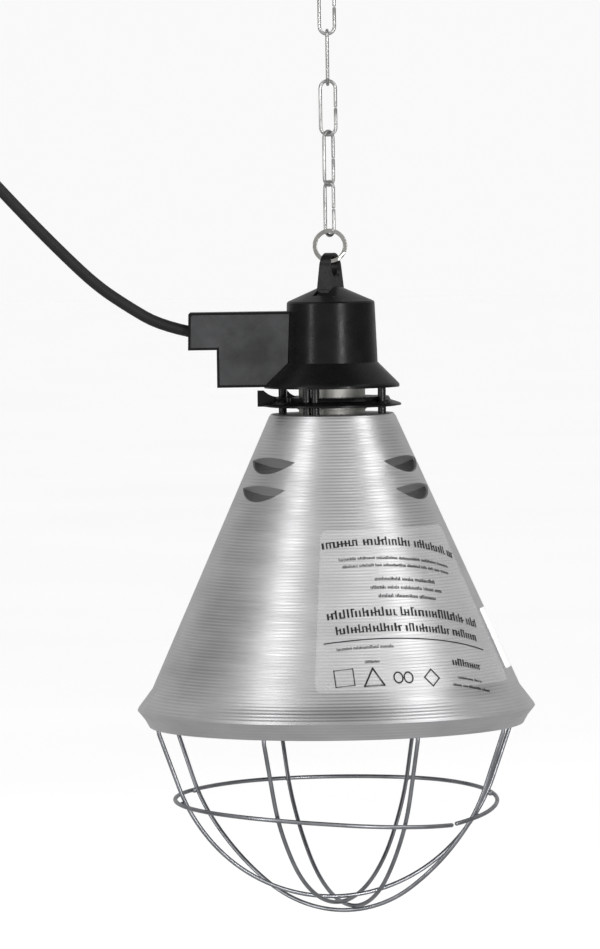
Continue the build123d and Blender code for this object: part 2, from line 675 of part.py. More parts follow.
with BuildPart() as clamp_screws:
    with BuildSketch(Plane.XY.offset(CORD_EXIT_Z + CORD / 2 + 1.5)):
        with Locations(*CLAMP_SCREWS):
            Circle(CLAMP_SCREW + 0.6)
    extrude(amount=0.9)
    with BuildSketch(Plane.XY.offset(CORD_EXIT_Z + CORD / 2 + 1.5)):
        with Locations(*CLAMP_SCREWS):
            Circle(CLAMP_SCREW)
    extrude(amount=-CORD - 4)
finish_node(clamp_screws.part, "clamp_screws")

# ---------------------------------------------------------------- carrier, posts and locking ring

post_places = [polar(POST_CIRCLE, angle) for angle in POST_ANGLES]
post_length = CARRIER_BOTTOM - SHADE_TOP - 0.05

with BuildPart() as carrier_plate:
    with BuildSketch(Plane.XY.offset(CARRIER_BOTTOM)):
        Circle(CARRIER_RADIUS)
        Circle(CARRIER_BORE, mode=Mode.SUBTRACT)
        with Locations(*post_places):
            Circle(POST_SCREW + 0.2, mode=Mode.SUBTRACT)
    extrude(amount=CARRIER_TOP - CARRIER_BOTTOM)
finish_node(carrier_plate.part, "carrier_plate")

for number, place in enumerate(post_places):
    with BuildPart() as spacer_post:
        with BuildSketch(Plane.XY.offset(CARRIER_BOTTOM)):
            with Locations(place):
                Circle(POST_RADIUS)
                Circle(POST_SCREW + 0.1, mode=Mode.SUBTRACT)
        extrude(amount=-post_length)
    finish_node(spacer_post.part, f"spacer_post_{number + 1}")

with BuildPart() as stop_pin:
    with BuildSketch(Plane.XY.offset(CARRIER_BOTTOM)):
        with Locations(polar(POST_CIRCLE, STOP_ANGLE)):
            Circle(POST_RADIUS)
    extrude(amount=-post_length)
finish_node(stop_pin.part, "stop_pin")

with BuildPart() as post_screws:
    with BuildSketch(Plane.XY.offset(SHADE_TOP - SHADE_WALL - 0.1)):
        with Locations(*post_places):
            Circle(POST_SCREW + 0.6)
    extrude(amount=-SCREW_HEAD)
    with BuildSketch(Plane.XY.offset(SHADE_TOP - SHADE_WALL - 0.1)):
        with Locations(*post_places):
            Circle(POST_SCREW)
    extrude(amount=CARRIER_TOP + POST_SCREW_BITE - SHADE_TOP + SHADE_WALL)
finish_node(post_screws.part, "post_screws")

with BuildPart() as locking_ring:
    with BuildSketch(FRONT):
        with BuildLine():
            Polyline(
                (LOCK_BORE, LOCK_TOP),
                (LOCK_HUB, LOCK_TOP),
                (LOCK_HUB + 1.0, LOCK_TOP - 1.9),
                (LOCK_RIM - 0.9, LOCK_BOTTOM + 1.7),
                (LOCK_RIM, LOCK_BOTTOM + 1.2),
                (LOCK_RIM, LOCK_BOTTOM + 0.4),
                (LOCK_RIM - 2.5, LOCK_BOTTOM),
                (LOCK_BORE, LOCK_BOTTOM),
                close=True,
            )
        make_face()
    revolve(axis=Axis.Z)
    # the lever: a fin beyond the rim and a web that sweeps down to the hub, twice over
    with BuildSketch(FRONT):
        with BuildLine():
            Polyline(
                (-LEVER_TIP, LOCK_BOTTOM + 0.2),
                (-LEVER_TIP, LEVER_TOP),
                (-LEVER_TIP + 3.3, LEVER_TOP),
            )
            RadiusArc((-LEVER_TIP + 3.3, LEVER_TOP), (-LOCK_HUB + 1.6, LOCK_TOP + 0.1), -11)
            Polyline(
                (-LOCK_HUB + 1.6, LOCK_TOP + 0.1),
                (-LOCK_HUB + 1.6, LOCK_BOTTOM + 0.2),
                (-LEVER_TIP, LOCK_BOTTOM + 0.2),
            )
        make_face()
        with BuildLine():
            RadiusArc((-WEB_OUTER, LEVER_TOP + 0.4), (-LOCK_BORE - 0.2, LOCK_TOP + 0.1), -9)
            Polyline(
                (-LOCK_BORE - 0.2, LOCK_TOP + 0.1),
                (-LOCK_BORE - 0.2, LOCK_TOP - 1),
                (-WEB_OUTER, LOCK_TOP - 1),
                (-WEB_OUTER, LEVER_TOP + 0.4),
            )
        make_face()
    extrude(amount=LEVER_THICK / 2, both=True)
    for angle in POST_ANGLES:
        last = STOP_ANGLE if angle == POST_ANGLES[0] else angle
        middle = (angle - RING_TRAVEL + last) / 2
        with BuildSketch(Plane.XY.offset(LOCK_BOTTOM - 0.5)):
            with Locations(Location((0, 0, 0), (0, 0, middle))):
                SlotArc(
                    CenterArc((0, 0), POST_CIRCLE, -(last - middle), 2 * (last - middle),
                              mode=Mode.PRIVATE),
                    2 * POST_RADIUS + 0.7,
                )
        extrude(amount=LOCK_TOP - LOCK_BOTTOM + 1, mode=Mode.SUBTRACT)
finish_node(locking_ring.part, "locking_ring")

# ---------------------------------------------------------------- reflector shade


def shade_radius(depth):
    """Outside radius of the shade's cone at a depth below its top."""
    return SHADE_NECK_RADIUS + SHADE_SLOPE * (depth - SHADE_NECK_DEPTH)


def shade_profile(inset):
    """Half section of the shade's outside, drawn in by the wall for its inside."""
    side = inset * 1.1
    reach = 2 * inset
    return [
        (0, SHADE_TOP - inset),
        (SHADE_FLAT - side, SHADE_TOP - inset),
        (shade_radius(1.6) - side, SHADE_TOP - 1.6 - inset / 2),
        (shade_radius(BEAD_START) - side, SHADE_TOP - BEAD_START),
        (BEAD_RADIUS - 0.5 - side, SHADE_TOP - BEAD_DEPTH + 1.2),
        (BEAD_RADIUS - side, SHADE_TOP - BEAD_DEPTH),
        (CREASE_RADIUS - side, SHADE_TOP - CREASE_DEPTH),
        (RIM_RADIUS - side, SHADE_TOP - RIM_DEPTH - reach),
        (0, SHADE_TOP - RIM_DEPTH - reach),
    ]


with BuildPart() as shade_inside:
    with BuildSketch(FRONT):
        with BuildLine():
            Polyline(*shade_profile(SHADE_WALL), close=True)
        make_face()
    revolve(axis=Axis.Z)

with BuildPart() as shade_outside:
    with BuildSketch(FRONT):
        with BuildLine():
            Polyline(*shade_profile(0), close=True)
        make_face()
    revolve(axis=Axis.Z)

# each louvre: its angle, the height of its tips and how far from the axis its fold runs
louvre_seats = []
for depth in LOUVRE_ROWS:
    fold = sqrt(shade_radius(depth) ** 2 - LOUVRE_HALF ** 2)
    for angle in LOUVRE_ANGLES:
        louvre_seats.append((angle, SHADE_TOP - depth, fold))

lean = (sin(radians(LOUVRE_LEAN)), cos(radians(LOUVRE_LEAN)))      # up along the tongue
lean_top = (8 * lean[0], 8 * lean[1])
lean_foot = (-12 * lean[0], -12 * lean[1])
TONGUE_SECTION = [
    lean_top,
    lean_foot,
    (lean_foot[0] - SHADE_WALL * lean[1], lean_foot[1] + SHADE_WALL * lean[0]),
    (lean_top[0] - SHADE_WALL * lean[1], lean_top[1] + SHADE_WALL * lean[0]),
]
OPENING_SECTION = [lean_top, lean_foot, (20, lean_foot[1]), (20, lean_top[1])]


def louvre_blank(seat, section, bow):
    """A block across one louvre: a section seen from its side, cut below by an arc."""
    angle, height, fold = seat
    outwards = (*polar(1, angle), 0)
    along = (*polar(1, angle + 90), 0)
    with BuildPart() as blank:
        with BuildSketch(turned(angle, height)):
            with BuildLine():
                Polyline(*[(fold + out, up) for out, up in section], close=True)
            make_face()
        extrude(amount=LOUVRE_HALF, both=True)
        with BuildSketch(Plane(origin=(0, 0, height), x_dir=along, z_dir=outwards)):
            with BuildLine():
                ThreePointArc((-LOUVRE_HALF, 0), (0, -bow), (LOUVRE_HALF, 0))
                Polyline((LOUVRE_HALF, 0), (LOUVRE_HALF, 9), (-LOUVRE_HALF, 9), (-LOUVRE_HALF, 0))
            make_face()
        extrude(amount=fold + 20, mode=Mode.INTERSECT)
    return blank.part


with BuildPart() as reflector_shade:
    add(shade_outside.part)
    add(shade_inside.part, mode=Mode.SUBTRACT)
    for seat in louvre_seats:
        add(louvre_blank(seat, OPENING_SECTION, LOUVRE_CUT), mode=Mode.SUBTRACT)
    with BuildSketch(Plane.XY.offset(SHADE_TOP + 1)):
        Circle(SLEEVE_RADIUS + 0.9)
        with Locations(*post_places):
            Circle(POST_SCREW + 0.2)
    extrude(amount=-3 * SHADE_WALL, mode=Mode.SUBTRACT)
    # the tongues hang inwards from the folds above the openings
    for seat in louvre_seats:
        add(louvre_blank(seat, TONGUE_SECTION, LOUVRE_TONGUE) & shade_outside.part)
finish_node(reflector_shade.part, "reflector_shade")

# ---------------------------------------------------------------- labels on the shade


def label_patch(top_depth, bottom_depth, first_angle, last_angle):
    """A film wrapped on the cone between two depths and two angles."""
    with BuildPart() as patch:
        with BuildSketch(turned(first_angle)):
            with BuildLine():
                Polyline(
                    (shade_radius(top_depth) + LABEL_SEAT, SHADE_TOP - top_depth),
                    (shade_radius(top_depth) + LABEL_SEAT + LABEL_THICK, SHADE_TOP - top_depth),
                    (shade_radius(bottom_depth) + LABEL_SEAT + LABEL_THICK,
                     SHADE_TOP - bottom_depth),
                    (shade_radius(bottom_depth) + LABEL_SEAT, SHADE_TOP - bottom_depth),
                    close=True,
                )
            make_face()
        revolve(axis=Axis.Z, revolution_arc=last_angle - first_angle)
    return patch.part


finish_node(label_patch(*FILM_LABEL), "film_label")
finish_node(label_patch(*PLAIN_LABEL), "plain_label")

# ---------------------------------------------------------------- wire guard

ball_centre = SHADE_TOP - RIM_DEPTH
leave = radians(GUARD_LEAVE)


def guard_line(plane, offset, lowest):
    """Centreline of one guard wire: straight ends, a ball-shaped flank and a rounder bottom."""
    ball = sqrt(GUARD_BALL ** 2 - offset ** 2)
    end_x = sqrt(GUARD_END_RADIUS ** 2 - offset ** 2)
    end_z = SHADE_TOP - GUARD_END_DEPTH
    touch = (ball * cos(radians(GUARD_TOUCH)), ball_centre - ball * sin(radians(GUARD_TOUCH)))
    knee_z = touch[1] + (end_x - touch[0]) / tan(radians(GUARD_TOUCH))
    side_x = (ball - GUARD_SIDE_RADIUS) * cos(radians(GUARD_LEAVE))
    side_z = ball_centre - (ball - GUARD_SIDE_RADIUS) * sin(radians(GUARD_LEAVE))
    rise = side_z - (SHADE_TOP - lowest)
    bottom_radius = (GUARD_SIDE_RADIUS ** 2 - side_x ** 2 - rise ** 2) / (
        2 * (GUARD_SIDE_RADIUS - rise))
    bottom_z = SHADE_TOP - lowest + bottom_radius
    joint = degrees(acos(-side_x / hypot(side_x, side_z - bottom_z)))
    with BuildLine(plane) as line:
        FilletPolyline((end_x, end_z), (end_x, knee_z), touch, radius=GUARD_KNEE)
        CenterArc((0, ball_centre), ball, -GUARD_TOUCH, GUARD_TOUCH - GUARD_LEAVE)
        CenterArc((side_x, side_z), GUARD_SIDE_RADIUS, -GUARD_LEAVE, GUARD_LEAVE - joint)
        CenterArc((0, bottom_z), bottom_radius, -joint, 2 * joint - 180)
        CenterArc((-side_x, side_z), GUARD_SIDE_RADIUS, joint - 180, GUARD_LEAVE - joint)
        CenterArc((0, ball_centre), ball, GUARD_LEAVE - 180, GUARD_TOUCH - GUARD_LEAVE)
        FilletPolyline((-touch[0], touch[1]), (-end_x, knee_z), (-end_x, end_z),
                       radius=GUARD_KNEE)
    return line.wires()[0]


for number, (angle, offset, lowest) in enumerate(GUARD_WIRES):
    wire_plane = turned(angle).offset(offset)
    guard_route = guard_line(wire_plane, offset, lowest)
    with BuildPart() as guard_wire:
        with BuildSketch(Plane(origin=guard_route @ 0, z_dir=guard_route % 0)):
            Circle(GUARD_WIRE / 2)
        sweep(path=guard_route)
    finish_node(guard_wire.part, f"guard_wire_{number + 1}")

# the hoop lies against the outside of the wires, lowest at the front, where its ends meet
hoop_points = []
for angle, drop in HOOP_HEIGHTS:
    reach = GUARD_BALL + GUARD_WIRE + 0.15 + HOOP_BULGE * cos(radians(angle)) ** 2
    hoop_points.append((*polar(sqrt(reach ** 2 - drop ** 2), angle), ball_centre - drop))

with BuildPart() as guard_hoop:
    with BuildLine() as hoop_line:
        Spline(*hoop_points)
    hoop_path = hoop_line.wires()[0]
    with BuildSketch(Plane(origin=hoop_path @ 0, z_dir=hoop_path % 0)):
        Circle(GUARD_WIRE / 2)
    sweep(path=hoop_path)
finish_node(guard_hoop.part, "guard_hoop")

# ---------------------------------------------------------------- mains lead, coil, tie and plug

coil_x, coil_y, coil_z = COIL_CENTRE
join_x = coil_x + COIL_RADIUS
tail_x = coil_x - COIL_RADIUS

LEAD_ROUTE = [
    (ARM_END - 0.85, 0, CORD_EXIT_Z + 0.2),
    (-89.8, 0, -246.2),
    (-106.0, 0, -236.5),
    (-122.5, 0, -225.2),
    (-140.0, 0, -208.4),
    (-163.0, 0, -184.5),
    (-186.5, 0, -158.4),
    (-205.0, 0, -134.6),
    (-217.0, 0, -115.5),
    (join_x + 1.7, 0, coil_z - 30.5),
]
TAIL_ROUTE = [
    (tail_x, 0, coil_z - 30.0),
    (tail_x - 0.6, 0, coil_z - 40.0),
    (PLUG_X, 0, PLUG_TOP),
]


def cord_tube(route):
    """A tube of the lead's diameter along straight runs joined by the widest tangent arcs."""
    radii = bend_radii(route)
    print("cord arcs", [round(radius, 1) for radius in radii])
    with BuildLine() as line:
        FilletPolyline(*route, radius=radii)
    path = line.wires()[0]
    with BuildPart() as tube:
        with BuildSketch(Plane(origin=path @ 0, z_dir=path % 0)):
            Circle(CORD / 2)
        sweep(path=path)
    ratio = tube.part.volume / (path.length * pi * (CORD / 2) ** 2)
    print("tube length", round(path.length, 1), "volume ratio", round(ratio, 4))
    return tube.part


finish_node(cord_tube(LEAD_ROUTE), "cord_lead")
finish_node(cord_tube(TAIL_ROUTE), "cord_end")

with BuildPart() as cord_coil:
    with BuildSketch(Plane.YZ.offset(coil_x)):
        with Locations((0, coil_z + COIL_RADIUS)):
            Circle(COIL_BUNDLE)
    revolve(axis=Axis((coil_x, 0, coil_z), (0, 1, 0)))
finish_node(cord_coil.part, "cord_coil")

# a hook-and-loop strap round the bundle, whose loop hangs from the same height as the S-hook
tie_low = coil_z + COIL_RADIUS - TIE_SEAT

with BuildPart() as cord_tie:
    for grown, kind in ((TIE_THICK, Mode.ADD), (0, Mode.SUBTRACT)):
        with BuildSketch(Plane.YZ.offset(coil_x - TIE_WIDTH / 2)):
            with Locations((0, tie_low)):
                Circle(TIE_INSIDE + grown)
            with Locations((0, -TIE_LOOP)):
                Circle(TIE_LOOP + grown)
            make_hull()
        extrude(amount=TIE_WIDTH, mode=kind)
finish_node(cord_tie.part, "cord_tie")

# contour plug: a flat moulded body that tapers up to the lead, with two round pins
with BuildPart() as plug_body:
    with BuildSketch(Plane.XY.offset(PLUG_TOP)):
        with Locations((PLUG_X, 0)):
            Circle(PLUG_NECK)
    with BuildSketch(Plane.XY.offset(PLUG_TOP - PLUG_TAPER)):
        with Locations((PLUG_X, 0)):
            RectangleRounded(PLUG_SHOULDER, PLUG_THICK, PLUG_THICK / 2 - 1)
    loft()
    with BuildSketch(Plane.XY.offset(PLUG_TOP - PLUG_TAPER)):
        with Locations((PLUG_X, 0)):
            RectangleRounded(PLUG_SHOULDER, PLUG_THICK, PLUG_THICK / 2 - 1)
    with BuildSketch(Plane.XY.offset(PLUG_TOP - PLUG_LENGTH)):
        with Locations((PLUG_X, 0)):
            RectangleRounded(PLUG_WIDTH, PLUG_THICK + 1, PLUG_THICK / 2 - 1)
    loft()
    with BuildSketch(Plane.XY.offset(PLUG_TOP - PLUG_LENGTH)):
        with Locations((PLUG_X - PIN_SPACING / 2, 0), (PLUG_X + PIN_SPACING / 2, 0)):
            Circle(PIN_NECK)
    extrude(amount=PIN_ROOT, mode=Mode.SUBTRACT)
finish_node(plug_body.part, "plug_body")

with BuildPart() as plug_pins:
    with BuildSketch(Plane.XY.offset(PLUG_TOP - PLUG_LENGTH - PIN_COLLAR)):
        with Locations((PLUG_X - PIN_SPACING / 2, 0), (PLUG_X + PIN_SPACING / 2, 0)):
            Circle(PIN_RADIUS)
    extrude(amount=PIN_COLLAR - PIN_LENGTH)
    tips = plug_pins.edges().group_by(Axis.Z)[0]
    fillet(tips, PIN_RADIUS * 0.8)
    with BuildSketch(Plane.XY.offset(PLUG_TOP - PLUG_LENGTH - PIN_COLLAR)):
        with Locations((PLUG_X - PIN_SPACING / 2, 0), (PLUG_X + PIN_SPACING / 2, 0)):
            Circle(PIN_NECK)
    extrude(amount=PIN_COLLAR + PIN_ROOT)
finish_node(plug_pins.part, "plug_pins")
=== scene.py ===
import json
import math
import random

import bmesh
import bpy
from mathutils import Matrix, Vector


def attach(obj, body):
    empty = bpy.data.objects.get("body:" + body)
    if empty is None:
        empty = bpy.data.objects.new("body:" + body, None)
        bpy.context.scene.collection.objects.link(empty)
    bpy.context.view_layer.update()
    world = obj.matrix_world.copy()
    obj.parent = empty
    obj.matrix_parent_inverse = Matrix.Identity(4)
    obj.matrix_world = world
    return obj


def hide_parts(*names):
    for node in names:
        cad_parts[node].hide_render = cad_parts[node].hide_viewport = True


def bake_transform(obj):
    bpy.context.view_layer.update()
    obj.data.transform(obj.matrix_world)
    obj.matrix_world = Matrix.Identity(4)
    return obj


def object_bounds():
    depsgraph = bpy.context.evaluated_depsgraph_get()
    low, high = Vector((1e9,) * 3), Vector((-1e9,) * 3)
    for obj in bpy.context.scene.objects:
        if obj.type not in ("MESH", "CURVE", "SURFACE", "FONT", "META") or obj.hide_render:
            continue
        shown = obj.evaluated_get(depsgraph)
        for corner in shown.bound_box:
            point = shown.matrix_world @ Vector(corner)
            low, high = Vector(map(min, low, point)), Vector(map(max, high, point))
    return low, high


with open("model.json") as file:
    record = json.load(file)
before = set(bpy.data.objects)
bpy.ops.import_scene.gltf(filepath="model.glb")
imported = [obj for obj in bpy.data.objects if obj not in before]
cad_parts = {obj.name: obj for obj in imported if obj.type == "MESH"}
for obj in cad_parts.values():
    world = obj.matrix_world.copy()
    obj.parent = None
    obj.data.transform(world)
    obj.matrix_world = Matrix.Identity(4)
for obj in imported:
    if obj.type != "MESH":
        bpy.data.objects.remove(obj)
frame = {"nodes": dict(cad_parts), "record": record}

CAD_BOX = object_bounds()
NODES = frame["nodes"]
rng = random.Random(11)

# ------------------------------------------------------------------ main places, in metres

COIL_X, COIL_Z = -0.262, -0.071      # the coil's middle
COIL_R = 0.0366                      # to the middle of its turns
CORD_D = 0.006

# ------------------------------------------------------------------ camera

DISTANCE = 3.1
EYE_Z = -0.1728
AIM = Vector((-0.0174, 0.0, -0.3257))
CAMERA_ROLL = -0.81                  # degrees
SENSOR_WIDTH = 36.0
FRAME_ROWS = 949
ROW_SIZE = 0.0005263                 # what one row of the frame covers at the lamp

camera_data = bpy.data.cameras.new("camera")
camera = bpy.data.objects.new("camera", camera_data)
bpy.context.scene.collection.objects.link(camera)
camera.location = (AIM.x, -DISTANCE, EYE_Z)
look = AIM - camera.location
roll = Matrix.Rotation(math.radians(CAMERA_ROLL), 4, "Z")
camera.rotation_mode = "QUATERNION"
camera.rotation_quaternion = (look.to_track_quat("-Z", "Y").to_matrix().to_4x4() @ roll).to_quaternion()
camera_data.sensor_width = SENSOR_WIDTH
camera_data.lens = SENSOR_WIDTH * look.length / (FRAME_ROWS * ROW_SIZE)
camera_data.clip_start, camera_data.clip_end = 0.05, 60.0
bpy.context.scene.camera = camera

# ------------------------------------------------------------------ small helpers


def link(name, data):
    """A new object of the scene with this data."""
    obj = bpy.data.objects.new(name, data)
    bpy.context.scene.collection.objects.link(obj)
    return obj


def nurbs(name, points, bevel=0.0):
    """A curve of one smooth open spline with these control points, round if it has a bevel."""
    curve = bpy.data.curves.new(name, "CURVE")
    curve.dimensions = "3D"
    spline = curve.splines.new("NURBS")
    spline.points.add(len(points) - 1)
    for control, place in zip(spline.points, points):
        control.co = (*place, 1.0)
    spline.order_u = 3
    spline.use_endpoint_u = True
    curve.resolution_u = 5
    curve.bevel_depth = bevel
    curve.bevel_resolution = 4
    curve.use_fill_caps = bevel > 0
    return curve


def curve_mesh(curve):
    """The curve as a mesh, and nothing left of the curve's own object."""
    holder = link("holder", curve)
    mesh = bpy.data.meshes.new_from_object(holder)
    bpy.data.objects.remove(holder)
    return mesh


def smooth(mesh):
    mesh.polygons.foreach_set("use_smooth", [True] * len(mesh.polygons))
    mesh.update()


# ------------------------------------------------------------------ mains lead

LEAD_ROUTE = [
    (-0.0735, 0.0, -0.2499),
    (-0.0898, 0.0, -0.2462),
    (-0.1060, 0.0, -0.2365),
    (-0.1225, 0.0, -0.2252),
    (-0.1400, 0.0, -0.2084),
    (-0.1630, 0.0, -0.1845),
    (-0.1865, 0.0, -0.1584),
    (-0.2050, 0.0, -0.1346),
    (-0.2170, 0.0, -0.1155),
    (-0.2243, 0.0, -0.1015),
]
TAIL_ROUTE = [
    (-0.2980, 0.0, -0.1010),
    (-0.2986, 0.0, -0.1110),
    (-0.3005, 0.0, -0.1220),
]

# where each turn lies across the bundle: outwards from its middle, and in y, in millimetres
TURN_SLOTS = [
    (6.2, -5.4), (0.0, -5.4), (-6.2, -5.4), (-9.0, 0.0), (-3.05, 0.0),
    (3.05, 0.0), (9.0, 0.0), (6.2, 5.4), (0.0, 5.4), (-6.2, 5.4),
]
PER_TURN = 18                        # control points
COIL_TURNS = 9.5
CORNER_CUT = 0.9847                  # the curve's radius as a share of its control points'
SHIFT_FROM, SHIFT_TO = 200.0, 340.0  # a turn moves over to the next place between these angles
CROSS_OUT, CROSS_SIDE = 5.0, 5.8     # where the last half turn ends
WOBBLE = 0.35                        # how unevenly the turns lie


def ease(t):
    """A smooth step from 0 to 1, flat outside."""
    t = min(1.0, max(0.0, t))
    return t * t * (3 - 2 * t)


def coil_point(angle, out, side):
    """A control point at an angle round the coil, for a place across the bundle in millimetres."""
    radius = (COIL_R + out / 1000) / CORNER_CUT
    return (
        COIL_X + radius * math.cos(math.radians(angle)),
        side / 1000,
        COIL_Z + radius * math.sin(math.radians(angle)),
    )


coil_points = [coil_point(-24, 8.6, -4.2)]
for step in range(int(COIL_TURNS * PER_TURN) + 1):
    turns, angle = divmod(step * 360.0 / PER_TURN, 360.0)
    place = TURN_SLOTS[int(turns)]
    after = TURN_SLOTS[min(int(turns) + 1, len(TURN_SLOTS) - 1)]
    share = ease((angle - SHIFT_FROM) / (SHIFT_TO - SHIFT_FROM))
    out = place[0] + (after[0] - place[0]) * share
    side = place[1] + (after[1] - place[1]) * share
    if turns >= 9:                   # the last half turn crosses the back of the bundle
        over = ease((angle - 60.0) / 100.0)
        lift = ease((angle - 20.0) / 60.0)
        out = place[0] + (CROSS_OUT - place[0]) * over
        side = place[1] + CROSS_SIDE * lift
    if step:
        out += rng.uniform(-WOBBLE, WOBBLE)
    coil_points.append(coil_point(angle, out, side))
# the lead comes round from the back of the bundle to the start of its tail
COIL_EXIT = [(-0.3020, 0.0085, -0.0880), (-0.2995, 0.0035, -0.1010)]
cord_points = LEAD_ROUTE + coil_points + COIL_EXIT + TAIL_ROUTE[1:]

line_mesh = curve_mesh(nurbs("cord_line", cord_points))
cord_path = [tuple(v.co) for v in line_mesh.vertices]
bpy.data.meshes.remove(line_mesh)
cord_mesh = curve_mesh(nurbs("mains_lead", cord_points, bevel=CORD_D / 2))
smooth(cord_mesh)
mains_lead = link("mains_lead", cord_mesh)

length = sum((Vector(b) - Vector(a)).length for a, b in zip(cord_path, cord_path[1:]))
print("cord length", round(length, 3))

# ------------------------------------------------------------------ materials


class Paint:
    """A node material, with short calls for what the finishes here need."""

    def __init__(self, name, color, rough, metal=0.0):
        self.material = bpy.data.materials.new(name)
        self.material.use_nodes = True
        self.tree = self.material.node_tree
        self.shader = self.tree.nodes["Principled BSDF"]
        self.shader.inputs["Base Color"].default_value = (*color, 1.0)
        self.shader.inputs["Roughness"].default_value = rough
        self.shader.inputs["Metallic"].default_value = metal
        self.coords = self.tree.nodes.new("ShaderNodeTexCoord").outputs["Object"]
        self.height = None

    def node(self, kind, **values):
        """A new node; each value goes to its socket of that name, or else to its property."""
        made = self.tree.nodes.new(kind)
        for key, value in values.items():
            if key in made.inputs:
                made.inputs[key].default_value = value
            else:
                setattr(made, key, value)
        return made

    def join(self, a, b):
        self.tree.links.new(a, b)

    def mapped(self, scale):
        mapping = self.node("ShaderNodeMapping")
        mapping.inputs["Scale"].default_value = scale
        self.join(self.coords, mapping.inputs["Vector"])
        return mapping.outputs["Vector"]

    def noise(self, scale, detail=3.0, stretch=(1, 1, 1), rough=0.5):
        made = self.node("ShaderNodeTexNoise", Scale=scale, Detail=detail, Roughness=rough)
        self.join(self.mapped(stretch), made.inputs["Vector"])
        return made.outputs["Fac"]

    def spread(self, source, low, high, from_low=0.3, from_high=0.7):
        """The source's range mapped to low and high."""
        made = self.node("ShaderNodeMapRange")
        made.inputs["From Min"].default_value = from_low
        made.inputs["From Max"].default_value = from_high
        made.inputs["To Min"].default_value = low
        made.inputs["To Max"].default_value = high
        self.join(source, made.inputs["Value"])
        return made.outputs["Result"]

    def mix(self, source, dark, light):
        ramp = self.node("ShaderNodeValToRGB")
        ramp.color_ramp.elements[0].position = 0.32
        ramp.color_ramp.elements[0].color = (*dark, 1.0)
        ramp.color_ramp.elements[1].position = 0.68
        ramp.color_ramp.elements[1].color = (*light, 1.0)
        self.join(source, ramp.inputs["Fac"])
        return ramp.outputs["Color"]

    def colour(self, source, dark, light):
        self.join(self.mix(source, dark, light), self.shader.inputs["Base Color"])
        return self

    def roughness(self, source, low, high):
        self.join(self.spread(source, low, high), self.shader.inputs["Roughness"])
        return self

    def bump(self, source, distance, strength):
        """Fine relief, on top of any given before."""
        made = self.node("ShaderNodeBump", Strength=strength, Distance=distance)
        self.join(source, made.inputs["Height"])
        if self.height is not None:
            self.join(self.height, made.inputs["Normal"])
        self.height = made.outputs["Normal"]
        self.join(self.height, self.shader.inputs["Normal"])
        return self


def metal_paint(name, dark, light, rough_low, rough_high, grain=900.0, bump=0.00002):
    """Plate or bare metal, uneven in tone and gloss; the grain's scale is per metre."""
    paint = Paint(name, light, rough_low, metal=1.0)
    broad = paint.noise(90.0, 4.0)
    paint.colour(broad, dark, light)
    paint.roughness(paint.noise(grain, 2.0), rough_low, rough_high)
    paint.bump(paint.noise(grain * 0.8, 3.0), bump, 0.5)
    return paint


def plastic_paint(name, dark, light, rough_low, rough_high, grain=1400.0, bump=0.00004):
    """A moulded, woven or painted surface."""
    paint = Paint(name, light, rough_low)
    paint.colour(paint.noise(60.0, 5.0, rough=0.6), dark, light)
    paint.roughness(paint.noise(140.0, 4.0), rough_low, rough_high)
    paint.bump(paint.noise(grain, 3.0), bump, 0.6)
    return paint


# each slot's finish: its dark and light tones, its lowest and highest roughness, and, where they
# aren't the usual ones, the grain's scale and depth
FINISHES = (
    ("bright_zinc", metal_paint, (0.47, 0.47, 0.46), (0.72, 0.72, 0.71), 0.12, 0.20, 60.0, 0.000004),
    ("nickel_ring", metal_paint, (0.34, 0.33, 0.31), (0.62, 0.61, 0.58), 0.10, 0.18, 60.0, 0.000004),
    ("black_housing", plastic_paint, (0.0015, 0.0015, 0.0016), (0.0045, 0.0045, 0.0048), 0.22, 0.34),
    ("cover_plastic", plastic_paint, (0.013, 0.0135, 0.0145), (0.040, 0.041, 0.043), 0.42, 0.58),
    ("zinc_screws", metal_paint, (0.45, 0.45, 0.44), (0.70, 0.70, 0.69), 0.22, 0.40),
    ("pale_terminal", plastic_paint, (0.62, 0.60, 0.54), (0.74, 0.72, 0.66), 0.35, 0.5),
    ("brass", metal_paint, (0.62, 0.44, 0.18), (0.80, 0.62, 0.30), 0.2, 0.38),
    ("core_insulation", plastic_paint, (0.05, 0.03, 0.02), (0.16, 0.07, 0.03), 0.35, 0.5),
    ("heatproof_sleeving", plastic_paint, (0.66, 0.63, 0.56), (0.84, 0.82, 0.76), 0.7, 0.9),
    ("porcelain", plastic_paint, (0.74, 0.73, 0.69), (0.84, 0.83, 0.79), 0.10, 0.22, 300.0, 0.00005),
    ("holder_metal", metal_paint, (0.66, 0.65, 0.61), (0.82, 0.81, 0.77), 0.46, 0.62),
    ("clear_film", plastic_paint, (0.8, 0.8, 0.8), (0.9, 0.9, 0.9), 0.18, 0.30),
    ("white_paper", plastic_paint, (0.80, 0.80, 0.79), (0.88, 0.88, 0.87), 0.35, 0.5),
    ("guard_steel", metal_paint, (0.30, 0.31, 0.33), (0.47, 0.48, 0.51), 0.26, 0.36, 60.0, 0.000004),
    ("black_rubber", plastic_paint, (0.003, 0.003, 0.003), (0.007, 0.007, 0.007), 0.38, 0.5),
    ("tie_fabric", plastic_paint, (0.010, 0.010, 0.011), (0.03, 0.03, 0.032), 0.75, 0.95),
    ("pin_metal", metal_paint, (0.55, 0.52, 0.46), (0.76, 0.72, 0.64), 0.18, 0.34),
    ("plated_plate", metal_paint, (0.50, 0.50, 0.49), (0.68, 0.68, 0.67), 0.28, 0.45),
    ("black_posts", plastic_paint, (0.004, 0.004, 0.004), (0.008, 0.008, 0.008), 0.18, 0.30),
)
PAINTS = {slot: make(slot, *values) for slot, make, *values in FINISHES}
PAINTS["black_housing"].shader.inputs["Specular IOR Level"].default_value = 0.26
PAINTS["clear_film"].shader.inputs["Alpha"].default_value = 0.08

